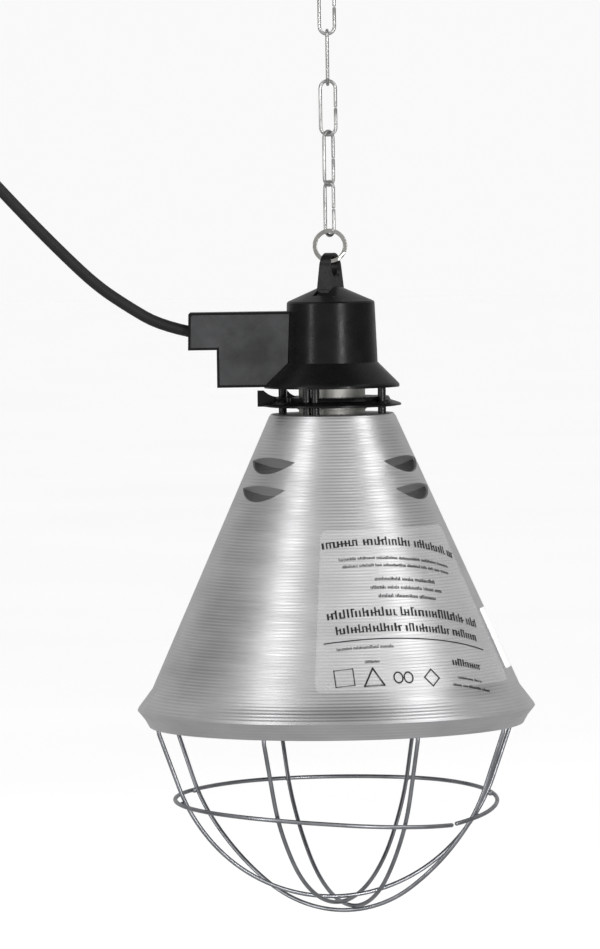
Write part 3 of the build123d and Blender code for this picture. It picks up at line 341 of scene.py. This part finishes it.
# painted shade: near the shade's top, faces that look towards the axis are darker in colour, standing in
# for the shade that falls inside it
PAINTED_SHADE_FROM, PAINTED_SHADE_FULL = -0.40, -0.345  # z where it starts, and where it is full
PAINTED_SHADE_SHARE = 0.62
PAINTED_SHADE_TONE = (0.16, 0.155, 0.145, 1.0)
aluminium = Paint("spun_aluminium", (0.80, 0.80, 0.81), 0.34, metal=1.0)
tone = aluminium.mix(aluminium.noise(26.0, 4.0, (1, 1, 2.5)), (0.70, 0.70, 0.71), (0.84, 0.84, 0.85))
flat = aluminium.node("ShaderNodeVectorMath", operation="MULTIPLY")
flat.inputs[1].default_value = (1.0, 1.0, 0.0)
aluminium.join(aluminium.coords, flat.inputs[0])
outward = aluminium.node("ShaderNodeVectorMath", operation="NORMALIZE")
aluminium.join(flat.outputs["Vector"], outward.inputs[0])
facing = aluminium.node("ShaderNodeVectorMath", operation="DOT_PRODUCT")
aluminium.join(outward.outputs["Vector"], facing.inputs[0])
aluminium.join(aluminium.node("ShaderNodeNewGeometry").outputs["True Normal"], facing.inputs[1])
inside = aluminium.spread(facing.outputs["Value"], 1.0, 0.0, -0.1, 0.1)
height = aluminium.node("ShaderNodeSeparateXYZ")
aluminium.join(aluminium.coords, height.inputs["Vector"])
near_top = aluminium.spread(height.outputs["Z"], 0.0, PAINTED_SHADE_SHARE, PAINTED_SHADE_FROM, PAINTED_SHADE_FULL)
# painted shade: how much of the darker tone each face inside near the top takes
painted_shade = aluminium.node("ShaderNodeMath", operation="MULTIPLY")
aluminium.join(inside, painted_shade.inputs[0])
aluminium.join(near_top, painted_shade.inputs[1])
# painted shade: the darker tone mixed into the aluminium's colour
blend = aluminium.node("ShaderNodeMix", data_type="RGBA")
MIX_FACTOR, MIX_A, MIX_B, MIX_RESULT = 0, 6, 7, 2    # a colour Mix node's sockets
aluminium.join(painted_shade.outputs["Value"], blend.inputs[MIX_FACTOR])
aluminium.join(tone, blend.inputs[MIX_A])
blend.inputs[MIX_B].default_value = PAINTED_SHADE_TONE
aluminium.join(blend.outputs[MIX_RESULT], aluminium.shader.inputs["Base Color"])
aluminium.roughness(aluminium.noise(60.0, 3.0, (0.15, 0.15, 30.0)), 0.28, 0.42)
# the fine rings that turning leaves
rings = aluminium.node("ShaderNodeTexWave", Scale=1.0, Distortion=0.6, Detail=2.0)
rings.wave_type = "BANDS"
rings.bands_direction = "Z"
aluminium.join(aluminium.mapped((20.0, 20.0, 195.0)), rings.inputs["Vector"])
aluminium.bump(rings.outputs["Fac"], 0.00011, 0.6)
aluminium.bump(aluminium.noise(40.0, 2.0, (0.1, 0.1, 60.0)), 0.00003, 0.5)
PAINTS["spun_aluminium"] = aluminium


def paint_piece(obj, name):
    obj.data.materials.clear()
    obj.data.materials.append(PAINTS[name].material)


slots = {row["node"]: row["material_slot"] for row in frame["record"]["subparts"]}
for node, obj in NODES.items():
    obj.data.materials.clear()
    obj.data.materials.append(PAINTS[slots[node]].material)

# turned parts: their shading runs on across the seam where a round face meets itself
for node in ("reflector_shade", "holder_sleeve"):
    joined = NODES[node].modifiers.new("joined", "WELD")
    joined.merge_threshold = 0.000002
    creased = NODES[node].modifiers.new("creased", "EDGE_SPLIT")
    creased.split_angle = math.radians(30)
    creased.use_edge_sharp = False
    shaded = NODES[node].modifiers.new("shaded", "WEIGHTED_NORMAL")
    shaded.mode = "FACE_AREA_WITH_ANGLE"
    shaded.keep_sharp = True

# ------------------------------------------------------------------ wire pieces


def arc(centre, radius, first, last, step=6.0):
    """Points of an arc in the drawing plane, as (across, up) pairs in millimetres."""
    count = max(2, int(abs(last - first) / step) + 1)
    turns = [math.radians(first + (last - first) * k / (count - 1)) for k in range(count)]
    return [(centre[0] + radius * math.cos(t), centre[1] + radius * math.sin(t)) for t in turns]


def bridge(build, lower, upper):
    """A band of faces between two rings of as many points."""
    for k in range(len(lower)):
        n = (k + 1) % len(lower)
        build.faces.new((lower[k], lower[n], upper[n], upper[k]))


DOME_TURNS = (20, 40, 60, 80)        # rings of points over a wire's domed end, in degrees


def add_tube(build, places, profile, side=None, dome=0.6):
    """A wire of this profile along the places, with domed ends; everything in millimetres."""
    places = [Vector(place) for place in places]
    last = len(places) - 1
    tangents = [(places[min(k + 1, last)] - places[max(k - 1, 0)]).normalized() for k in range(last + 1)]
    side = Vector(side) if side else tangents[0].orthogonal()
    reach = max(abs(x) for x, y in profile) * dome
    sections = []
    for k, (place, along) in enumerate(zip(places, tangents)):
        side = (side - along * side.dot(along)).normalized()
        up = along.cross(side)
        if k == 0:
            for turn in reversed(DOME_TURNS):
                t = math.radians(turn)
                sections.append((place - along * reach * math.sin(t), side, up, math.cos(t)))
        sections.append((place, side, up, 1.0))
        if k == last:
            for turn in DOME_TURNS:
                t = math.radians(turn)
                sections.append((place + along * reach * math.sin(t), side, up, math.cos(t)))
    rings = []
    for spot, a, b, size in sections:
        rings.append([build.verts.new((spot + (a * x + b * y) * size) / 1000) for x, y in profile])
    for lower, upper in zip(rings, rings[1:]):
        bridge(build, lower, upper)
    build.faces.new(list(reversed(rings[0])))
    build.faces.new(rings[-1])


def circle(radius, sides=20):
    """A round wire's profile."""
    turns = [math.tau * k / sides for k in range(sides)]
    return [(radius * math.cos(t), radius * math.sin(t)) for t in turns]


def finished(name, build, slot, body, replaced=()):
    """The built mesh as a smooth, painted piece on its body."""
    bmesh.ops.recalc_face_normals(build, faces=build.faces[:])
    mesh = bpy.data.meshes.new(name)
    build.to_mesh(mesh)
    build.free()
    smooth(mesh)
    obj = link(name, mesh)
    paint_piece(obj, slot)
    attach(obj, body)
    if replaced:
        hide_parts(*replaced)
    return obj


# the S-hook, its tips rounded: two crooks with a straight stem between them
CROOK_R = 8
UPPER_CROOK_Z, LOWER_CROOK_Z = -6.5, -34.45
HOOK_WIRE_R = 1.5
# how far the stem leans, in degrees
STEM = 90 - math.degrees(math.acos(2 * CROOK_R / (UPPER_CROOK_Z - LOWER_CROOK_Z)))
hook_line = arc((0, UPPER_CROOK_Z), CROOK_R, 205, -STEM)
hook_line += arc((0, LOWER_CROOK_Z), CROOK_R, 180 - STEM, 385)
build = bmesh.new()
add_tube(build, [(x, 0, z) for x, z in hook_line], circle(HOOK_WIRE_R, 24), side=(0, 1, 0), dome=0.7)
finished("s_hook_wire", build, "bright_zinc", "root", ["s_hook"])

# chain links, each bent round to a butt joint in the middle of one leg
LINK_TURNS = (90, 0, 90, 0, 53, -56)    # degrees, from the top down
LINK_PITCH = 26.4
LINK_WIRE_R = 0.9
FIRST_LINK_Z = -54.1
BEND_R, BEND_Z = 3.95, 10.2
HALF_BUTT = 0.55
for number, turn in enumerate(LINK_TURNS):
    middle = FIRST_LINK_Z - number * LINK_PITCH
    loop = [(BEND_R, -HALF_BUTT)]
    loop += arc((0, -BEND_Z), BEND_R, 0, -180, 12) + arc((0, BEND_Z), BEND_R, 180, 0, 12)
    loop.append((BEND_R, HALF_BUTT))
    across = Vector((math.cos(math.radians(turn)), math.sin(math.radians(turn)), 0))
    places = [across * x + Vector((0, 0, middle + up)) for x, up in loop]
    build = bmesh.new()
    add_tube(build, places, circle(LINK_WIRE_R), side=across, dome=0.5)
    tag = number + 1
    finished(f"link_wire_{tag}", build, "bright_zinc", f"link_{tag}", [f"chain_link_{tag}"])

# the split ring: two turns of flat wire that shift over beside their ends
SPLIT_RING_R, SPLIT_RING_Z = 7.95, -205.7
WIRE_START, WIRE_TURN = 22, 676      # degrees
SHIFT_START, SHIFT_SPAN = 338, 44    # where it moves over to its second turn
TURNS_APART = 1.1
TILT = -45                           # turns the wire's ends away from the top
STEPS = 112
flat_wire = []
for cx, cy, first in ((0.85, 0.29, 0), (-0.85, 0.29, 90), (-0.85, -0.29, 180), (0.85, -0.29, 270)):
    flat_wire += [(x, y) for x, y in arc((cx, cy), 0.24, first, first + 90, 30)]
places = []
for k in range(STEPS + 1):
    turn = WIRE_START + WIRE_TURN * k / STEPS
    shift = (ease((turn - SHIFT_START) / SHIFT_SPAN) - 0.5) * TURNS_APART
    t = math.radians(turn + TILT)
    places.append((SPLIT_RING_R * math.cos(t), shift, SPLIT_RING_Z + SPLIT_RING_R * math.sin(t)))
t = math.radians(WIRE_START + TILT)
build = bmesh.new()
add_tube(build, places, flat_wire, side=(math.cos(t), 0, math.sin(t)), dome=0.12)
finished("split_ring_wire", build, "nickel_ring", "ring", ["split_ring"])

# the guard's hoop, its ends rounded, and a weld where each wire crosses it
RIM_Z = -457.3
GUARD_REACH = 93.35                  # the ball that the hoop's wire lies on
HOOP_BULGE = 0.8                     # how much further it reaches at both sides
HOOP_END = 42.3                      # the listed depths start at minus this angle
HOOP_FROM, HOOP_SPAN = -40.3, 357.5  # the wire's start, and how far round it goes
GUARD_WIRE_R = 1.1
WIRE_REACH = 83                      # from the axis to where the upright wires cross it
# the hoop's depth under the rim: angle in degrees, then millimetres
HOOP_HEIGHTS = (
    (-42.3, 48.9), (-40.8, 48.5), (-20.0, 45.4), (0.0, 42.0), (25.0, 39.0), (50.0, 37.2), (75.0, 36.8),
    (100.0, 36.8), (125.0, 37.1), (150.0, 38.0), (180.0, 39.1), (205.0, 40.3), (230.0, 41.6),
    (250.0, 43.1), (265.0, 44.5), (280.0, 46.2), (295.0, 47.6), (306.0, 48.4), (317.7, 48.9),
)


def hoop_point(angle, inward=0.0):
    """A point of the hoop's line, its depth eased between the listed ones."""
    turn = (angle + HOOP_END) % 360 - HOOP_END
    k = next(n for n in range(len(HOOP_HEIGHTS) - 1) if turn <= HOOP_HEIGHTS[n + 1][0])
    (a, low), (b, high) = HOOP_HEIGHTS[k], HOOP_HEIGHTS[k + 1]
    before = HOOP_HEIGHTS[max(k - 1, 0)]
    after = HOOP_HEIGHTS[min(k + 2, len(HOOP_HEIGHTS) - 1)]
    t = (turn - a) / (b - a)
    slope_low = (high - before[1]) / (b - before[0]) * (b - a)
    slope_high = (after[1] - low) / (after[0] - a) * (b - a)
    drop = (2 * t ** 3 - 3 * t ** 2 + 1) * low + (t ** 3 - 2 * t ** 2 + t) * slope_low
    drop += (3 * t ** 2 - 2 * t ** 3) * high + (t ** 3 - t ** 2) * slope_high
    around = math.radians(turn)
    reach = GUARD_REACH + HOOP_BULGE * math.cos(around) ** 2 - inward
    radius = math.sqrt(reach * reach - drop * drop)
    return Vector((radius * math.cos(around), radius * math.sin(around), RIM_Z - drop))


build = bmesh.new()
hoop_line = [hoop_point(HOOP_FROM + HOOP_SPAN * k / 200) for k in range(201)]
add_tube(build, hoop_line, circle(GUARD_WIRE_R), dome=0.8)
finished("hoop_wire", build, "guard_steel", "guard", ["guard_hoop"])

# how each upright wire is turned, and how far it passes the middle
GUARD_WIRES = ((14, 0.0), (65, 3.0), (-68, -5.5), (-26, 0.0))
WELD_R, WELD_IN, WELD_BUMPS = 1.45, 1.15, 0.05
build = bmesh.new()
for turn, offset in GUARD_WIRES:
    shift = math.degrees(math.asin(offset / WIRE_REACH))
    for angle in (turn - shift, turn + 180 + shift):
        place = hoop_point(angle, inward=WELD_IN)
        nugget = bmesh.ops.create_icosphere(build, subdivisions=3, radius=1.0)["verts"]
        outward = Vector((math.cos(math.radians(angle)), math.sin(math.radians(angle)), 0))
        for vert in nugget:
            flat = vert.co.dot(outward)
            vert.co = (vert.co * WELD_R + outward * flat * 0.1 + place) / 1000
            vert.co += Vector([rng.uniform(-WELD_BUMPS, WELD_BUMPS) for _ in range(3)]) / 1000
finished("guard_welds", build, "guard_steel", "guard")

# the lampholder's screw shell, with its rolled thread
SHELL_TOP_Z, SHELL_HEIGHT = -271.1, 27.0
SHELL_R, SHELL_WALL = 13.0, 0.4
THREAD_DEPTH, THREAD_PITCH = 0.34, 3.629
build = bmesh.new()
rows, around = 66, 72
walls = []
for gap in (0.0, SHELL_WALL):
    wall = []
    for row in range(rows + 1):
        z = SHELL_TOP_Z - SHELL_HEIGHT * row / rows
        fade = min(1.0, row / 6, (rows - row) / 4)
        ring = []
        for k in range(around):
            t = math.tau * k / around
            r = SHELL_R + gap + THREAD_DEPTH * fade * math.cos(math.tau * z / THREAD_PITCH - t)
            ring.append(build.verts.new(Vector((r * math.cos(t), r * math.sin(t), z)) / 1000))
        wall.append(ring)
    walls.append(wall)
for wall in walls:
    for lower, upper in zip(wall, wall[1:]):
        bridge(build, lower, upper)
for end in (0, -1):
    bridge(build, walls[0][end], walls[1][end])
finished("screw_shell", build, "brass", "lamp", ["threaded_shell"])

# ------------------------------------------------------------------ tie and plug

# the tie: a woven strap round the bundle and up to its hanging loop, with its end lapped over
TIE_X = -262.0
TIE_LOW, TIE_IN = -35.4, 13.25       # middle and radius of the strap's bend round the bundle
TIE_TOP, TIE_LOOP = -6.0, 6.05       # middle and radius of its hanging loop
LAPPED = slice(8, 62)                # the stretch of the loop that has a second layer
lean = math.degrees(math.asin((TIE_IN - TIE_LOOP) / (TIE_TOP - TIE_LOW)))


def between(first, last):
    """Seven points that divide the straight from first to last."""
    (x, y), (to_x, to_y) = first, last
    return [(x + (to_x - x) * k / 8, y + (to_y - y) * k / 8) for k in range(1, 8)]


def strap_line(grow):
    """The strap's loop in its (y, z) plane, clockwise from the left of the bundle."""
    lower = arc((0, TIE_LOW), TIE_IN + grow, 180 - lean, 360 + lean, 5)
    upper = arc((0, TIE_TOP), TIE_LOOP + grow, lean, 180 - lean, 7)
    return lower + between(lower[-1], upper[0]) + upper + between(upper[-1], lower[0])


def strap(build, inner, outer, half, closed):
    """A band between two lines, its long edges rounded and ribbed like a weave."""
    middle = [((a[0] + b[0]) / 2, (a[1] + b[1]) / 2) for a, b in zip(inner, outer)]
    section = [(1.0, 0.0), (0.985, 0.6), (0.94, 0.95)]
    section += [(0.9 - 0.1 * k, 1.0) for k in range(19)]
    section += [(-0.94, 0.95), (-0.985, 0.6), (-1.0, 0.0), (-0.985, -0.6), (-0.94, -0.95)]
    section += [(-0.9 + 0.1 * k, -1.0) for k in range(19)]
    section += [(0.94, -0.95), (0.985, -0.6)]
    rings = []
    for k in range(len(inner)):
        thick = (Vector(outer[k]) - Vector(inner[k])) / 2
        ring = []
        for across, out in section:
            rib = 1.0 - 0.05 * (k % 2)
            y = middle[k][0] + thick.x * out * rib
            z = middle[k][1] + thick.y * out * rib
            ring.append(build.verts.new(Vector((TIE_X + half * across, y, z)) / 1000))
        rings.append(ring)
    pairs = list(zip(rings, rings[1:])) + ([(rings[-1], rings[0])] if closed else [])
    for lower, upper in pairs:
        bridge(build, lower, upper)
    if not closed:
        build.faces.new(list(reversed(rings[0])))
        build.faces.new(rings[-1])


build = bmesh.new()
strap(build, strap_line(0.05), strap_line(0.80), 8.0, True)
lapped_in, lapped_out = strap_line(0.86), strap_line(1.40)
strap(build, lapped_in[LAPPED], lapped_out[LAPPED], 7.8, False)
tie_strap = finished("tie_strap", build, "tie_fabric", "root", ["cord_tie"])

PLUG_SIDES = 56


def rounded_section(half_x, half_y, power):
    """A section between an ellipse, at power 2, and a rectangle."""
    points = []
    for k in range(PLUG_SIDES):
        c, d = math.cos(math.tau * k / PLUG_SIDES), math.sin(math.tau * k / PLUG_SIDES)
        x = half_x * math.copysign(abs(c) ** (2 / power), c)
        points.append((x, half_y * math.copysign(abs(d) ** (2 / power), d)))
    return points


# the plug: strain relief rings at its neck, ribbed grips at its sides and a rounded face
PLUG_X, PLUG_TOP, PLUG_LENGTH = -300.5, -122.0, 48.0
PLUG_STEPS = 96
NECK_SHARE = 0.458                   # of its length, before it widens
FACE_ROUND = 1.2
RIPPLE_TO, RIPPLE_DEPTH, RIPPLE_PITCH = 0.30, 0.35, 2.6
GRIP_FROM, GRIP_TO, GRIP_DEPTH, GRIP_PITCH = 0.55, 0.86, 0.55, 3.0
build = bmesh.new()
rings = []
for step in range(PLUG_STEPS + 1):
    down = step / PLUG_STEPS
    z = PLUG_TOP - PLUG_LENGTH * down
    if down < NECK_SHARE:
        share = ease(down / NECK_SHARE)
        half_x, half_y, power = 4.6 + 4.9 * share, 4.6 + 1.65 * share, 2.0 + 1.2 * share
    else:
        share = (down - NECK_SHARE) / (1 - NECK_SHARE)
        half_x, half_y, power = 9.5 + 7.75 * share, 6.25 + 0.5 * share, 3.2
    if down < RIPPLE_TO:
        ripple = RIPPLE_DEPTH * (0.5 + 0.5 * math.cos(math.tau * z / RIPPLE_PITCH)) * min(1.0, down / 0.03)
        half_x, half_y = half_x - ripple, half_y - ripple
    if GRIP_FROM < down < GRIP_TO:
        half_x -= GRIP_DEPTH * (0.5 + 0.5 * math.cos(math.tau * z / GRIP_PITCH))
    close = max(0.0, 1.0 - (1.0 - down) * PLUG_LENGTH / FACE_ROUND)
    trim = FACE_ROUND * (1.0 - math.sqrt(max(0.0, 1.0 - close * close)))
    rings.append([build.verts.new(Vector((PLUG_X + x, y, z)) / 1000)
                  for x, y in rounded_section(half_x - trim, half_y - trim, power)])
for lower, upper in zip(rings, rings[1:]):
    bridge(build, lower, upper)
build.faces.new(rings[0])
build.faces.new(list(reversed(rings[-1])))
plug = finished("plug_moulding", build, "black_rubber", "root", ["plug_body"])

# ------------------------------------------------------------------ labels on the shade's cone

CONE = 0.4453                        # growth of its radius for each millimetre down
NECK_DEPTH, NECK_R = 3.4, 34.2       # where the cone starts, under the shade's top
SHADE_TOP_Z = -293.6
APEX_DEPTH = NECK_DEPTH - NECK_R / CONE
COS_CONE = 1 / math.hypot(1, CONE)
SIN_CONE = CONE * COS_CONE


def on_cone(slant, turn, lift):
    """A point lifted off the cone, at a distance down its slope and an angle in degrees."""
    radius = slant * SIN_CONE + lift * COS_CONE
    depth = slant * COS_CONE + APEX_DEPTH - lift * SIN_CONE
    t = math.radians(turn)
    return Vector((radius * math.cos(t), radius * math.sin(t), SHADE_TOP_Z - depth)) / 1000


def skin(build, grid_low, grid_high):
    """Closes two matching grids of points into one thin solid."""
    low = [[build.verts.new(p) for p in row] for row in grid_low]
    high = [[build.verts.new(p) for p in row] for row in grid_high]
    rows, columns = len(low), len(low[0])
    for r in range(rows - 1):
        for c in range(columns - 1):
            build.faces.new((high[r][c], high[r][c + 1], high[r + 1][c + 1], high[r + 1][c]))
            build.faces.new((low[r][c], low[r + 1][c], low[r + 1][c + 1], low[r][c + 1]))
    rim = [(0, c) for c in range(columns)] + [(r, columns - 1) for r in range(1, rows)]
    rim += [(rows - 1, c) for c in range(columns - 2, -1, -1)] + [(r, 0) for r in range(rows - 2, 0, -1)]
    for (r, c), (s, d) in zip(rim, rim[1:] + rim[:1]):
        build.faces.new((low[r][c], low[s][d], high[s][d], high[r][c]))


def label(name, slot, node, top, bottom, first, last, low, high, corner):
    """A label between two distances down the slope and two angles, its corners rounded."""
    slants = [top + corner * (1 - math.cos(math.radians(a))) for a in range(0, 90, 15)]
    slants += [top + corner + (bottom - top - 2 * corner) * k / 24 for k in range(25)]
    slants += [bottom - corner * (1 - math.cos(math.radians(a))) for a in range(75, -1, -15)]
    grids = []
    for lift in (low, high):
        grid = []
        for slant in slants:
            near = min(slant - top, bottom - slant, corner)
            inset = corner - math.sqrt(max(0.0, corner ** 2 - (corner - near) ** 2))
            trim = math.degrees(inset / (slant * SIN_CONE))
            width = last - first - 2 * trim
            grid.append([on_cone(slant, first + trim + width * k / 60, lift) for k in range(61)])
        grids.append(grid)
    build = bmesh.new()
    skin(build, *grids)
    finished(name, build, slot, "lamp", [node])


label("clear_label", "clear_film", "film_label", 144.0, 233.0, -97.0, -19.0, 0.06, 0.13, 4.0)
label("paper_label", "white_paper", "plain_label", 192.6, 226.8, -16.0, 24.0, 0.06, 0.15, 1.5)

# printed rows on the clear label: plain strokes, a rule and shapes, nothing legible
PRINT_TURN = -73.0
INK_LIFTS = (0.12, 0.17)


def printed(u, v, lift):
    """A point of the flat label: u to the right, v down, both in millimetres from the cone's tip."""
    return on_cone(math.hypot(u, v), PRINT_TURN + math.degrees(math.atan2(u, v)) / SIN_CONE, lift)


def stroke(build, u0, u1, v0, v1):
    """An upright rectangle of ink, or a level one, bent with the cone."""
    columns = max(1, int((u1 - u0) / 3))
    spots = [u0 + (u1 - u0) * k / columns for k in range(columns + 1)]
    grids = [[[printed(u, v, lift) for u in spots] for v in (v0, v1)] for lift in INK_LIFTS]
    skin(build, *grids)


def outline(build, corners, width):
    """A closed line through the corners, drawn as short strokes."""
    for (u0, v0), (u1, v1) in zip(corners, corners[1:] + corners[:1]):
        across = Vector((v0 - v1, u1 - u0)).normalized() * width / 2
        along = Vector((u1 - u0, v1 - v0)).normalized() * width / 2
        quads = []
        for lift in INK_LIFTS:
            a, b = Vector((u0, v0)) - along, Vector((u1, v1)) + along
            quads.append([[printed(*(a + across), lift), printed(*(b + across), lift)],
                          [printed(*(a - across), lift), printed(*(b - across), lift)]])
        skin(build, *quads)


# rows of strokes: middle height, left and right ends, stroke height, boldness
PRINT_ROWS = (
    (150.5, -25.1, 59.8, 4.6, 1.0), (159.8, -17.5, 50.4, 1.6, 0.6), (163.8, -16.0, 49.0, 1.6, 0.6),
    (171.4, -0.1, 37.5, 2.0, 0.6), (176.0, -2.9, 40.8, 2.0, 0.6), (180.7, 0.7, 35.4, 2.0, 0.6),
    (189.3, -27.7, 65.5, 4.8, 1.0), (198.0, -24.2, 62.9, 4.5, 1.0), (208.3, -25.1, 4.9, 1.6, 0.6),
    (216.3, -11.7, -3.3, 1.6, 0.6), (215.3, 39.0, 62.2, 3.9, 1.0), (223.9, 41.3, 58.8, 1.4, 0.6),
    (228.2, 37.1, 64.0, 1.4, 0.6),
)
STROKE_WIDTH = (0.13, 0.19)          # this and the next line are shares of the row's height
STROKE_GAP, WORD_GAP, HALF_BAR = 0.22, 0.45, 0.06
BAR_CHANCE = 0.6
build = bmesh.new()
for middle, left, right, height, bold in PRINT_ROWS:
    at = left
    word = rng.randint(4, 9)
    while at < right - 0.3 * height:
        wide = height * rng.uniform(*STROKE_WIDTH) * (1.0 + 0.35 * bold)
        tall = height * rng.choice((0.72, 0.72, 0.72, 1.0))
        stroke(build, at, at + wide, middle + height / 2 - tall, middle + height / 2)
        after = at + wide + height * STROKE_GAP
        if rng.random() < BAR_CHANCE:            # a thin bar on to the next stroke
            level = middle + height / 2 - tall * rng.choice((0.08, 0.5, 0.92))
            stroke(build, at + wide, after, level - height * HALF_BAR, level + height * HALF_BAR)
        at = after
        word -= 0.5
        if word <= 0:
            at += height * WORD_GAP
            word = rng.randint(3, 10)
stroke(build, -31.3, 66.2, 203.9, 204.5)
# four plain shapes in a row: a square, a triangle, a pair of rings and a diamond
outline(build, [(-28.2, 219.4), (-18.4, 219.4), (-18.4, 228.4), (-28.2, 228.4)], 0.55)
outline(build, [(-8.1, 220.0), (-3.0, 229.4), (-13.4, 229.4)], 0.9)
for centre in (5.0, 10.6):
    corners = []
    for k in range(16):
        t = math.tau * k / 16
        corners.append((centre + 2.4 * math.cos(t), 225.6 + 2.9 * math.sin(t)))
    outline(build, corners, 0.7)
outline(build, [(24.2, 220.8), (28.6, 225.4), (24.2, 230.0), (19.8, 225.4)], 0.7)
ink_paint = plastic_paint("printing_ink", (0.006, 0.006, 0.007), (0.014, 0.014, 0.016), 0.35, 0.5)
bmesh.ops.recalc_face_normals(build, faces=build.faces[:])
ink_mesh = bpy.data.meshes.new("label_print")
build.to_mesh(ink_mesh)
build.free()
ink = link("label_print", ink_mesh)
ink_mesh.materials.append(ink_paint.material)
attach(ink, "lamp")

# ------------------------------------------------------------------ the mains lead

# the lead, which hangs from its tie at the coil, takes its paint and the place of the cord's CAD pieces
paint_piece(mains_lead, "black_rubber")
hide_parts("cord_lead", "cord_coil", "cord_end")
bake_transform(mains_lead)

# ------------------------------------------------------------------ floor, light and world

scene = bpy.context.scene
FLOOR_Z = CAD_BOX[0].z - 0.45        # it hangs well clear of the floor
LAMP_MIDDLE = Vector((0, 0, -0.37))

build = bmesh.new()
bmesh.ops.create_grid(build, x_segments=4, y_segments=4, size=40.0)
floor_mesh = bpy.data.meshes.new("floor")
build.to_mesh(floor_mesh)
build.free()
floor = link("floor", floor_mesh)
floor.location = (0, 0, FLOOR_Z)
floor.visible_glossy = False
floor_paint = Paint("pale_floor", (0.9, 0.9, 0.9), 0.8)
floor_paint.colour(floor_paint.noise(1.5, 2.0), (0.89, 0.89, 0.89), (0.91, 0.91, 0.91))
floor_paint.shader.inputs["Emission Color"].default_value = (1.0, 1.0, 1.0, 1.0)
floor_paint.shader.inputs["Emission Strength"].default_value = 0.14
floor_mesh.materials.append(floor_paint.material)

world = bpy.data.worlds.new("world")
scene.world = world
world.use_nodes = True
sky = world.node_tree
background = sky.nodes["Background"]
background.inputs["Strength"].default_value = 1.0
direction = sky.nodes.new("ShaderNodeSeparateXYZ")
sky.links.new(sky.nodes.new("ShaderNodeTexCoord").outputs["Generated"], direction.inputs["Vector"])


def sky_range(source, from_min, from_max, to_min, to_max):
    made = sky.nodes.new("ShaderNodeMapRange")
    made.interpolation_type = "SMOOTHSTEP"
    made.inputs["From Min"].default_value = from_min
    made.inputs["From Max"].default_value = from_max
    made.inputs["To Min"].default_value = to_min
    made.inputs["To Max"].default_value = to_max
    sky.links.new(source, made.inputs["Value"])
    return made.outputs["Result"]


def sky_math(operation, a, b):
    made = sky.nodes.new("ShaderNodeMath")
    made.operation = operation
    sky.links.new(a, made.inputs[0])
    sky.links.new(b, made.inputs[1])
    return made.outputs["Value"]


# what shiny surfaces mirror: a pale room, darker at both sides and straight above and below
room = sky_range(direction.outputs["Y"], -1.0, 1.0, 0.52, 0.42)
sideways = sky_math("MULTIPLY", direction.outputs["X"], direction.outputs["X"])
room = sky_math("MULTIPLY", room, sky_range(sideways, 0.30, 1.0, 1.0, 0.45))
room = sky_math("MULTIPLY", room, sky_range(direction.outputs["Z"], 0.72, 1.0, 1.0, 0.15))
room = sky_math("MULTIPLY", room, sky_range(direction.outputs["Z"], -0.9, -0.1, 0.80, 1.0))
seen = sky.nodes.new("ShaderNodeMix")              # everything else sees a plain pale backdrop
seen.data_type = "FLOAT"
seen.inputs["A"].default_value = 0.95
sky.links.new(sky.nodes.new("ShaderNodeLightPath").outputs["Is Glossy Ray"], seen.inputs["Factor"])
sky.links.new(room, seen.inputs["B"])
sky.links.new(seen.outputs["Result"], background.inputs["Color"])


def area_light(name, azimuth, elevation, distance, width, height, power):
    """A soft box that faces the lamp; azimuth is measured from the camera's side, to the right."""
    data = bpy.data.lights.new(name, "AREA")
    data.shape = "RECTANGLE"
    data.size, data.size_y, data.energy = width, height, power
    a, e = math.radians(azimuth), math.radians(elevation)
    away = Vector((math.sin(a) * math.cos(e), -math.cos(a) * math.cos(e), math.sin(e)))
    light = link(name, data)
    light.location = LAMP_MIDDLE + away * distance
    light.visible_camera = False
    light.rotation_mode = "QUATERNION"
    light.rotation_quaternion = (-away).to_track_quat("-Z", "Y")
    return light


# azimuth, elevation, distance, width, height, watts
area_light("left_high", -50, 44, 2.4, 0.60, 1.2, 4.0)
area_light("right_high", 66, 41, 2.4, 0.70, 1.2, 5.0)
area_light("left_low", -53, 2, 2.4, 0.25, 1.4, 7.0)
area_light("right_low", 26, 2, 2.4, 0.22, 1.4, 14.0)
area_light("overhead", 180, 80, 2.6, 3.0, 3.0, 40.0).visible_glossy = False

scene.view_settings.view_transform = "Standard"
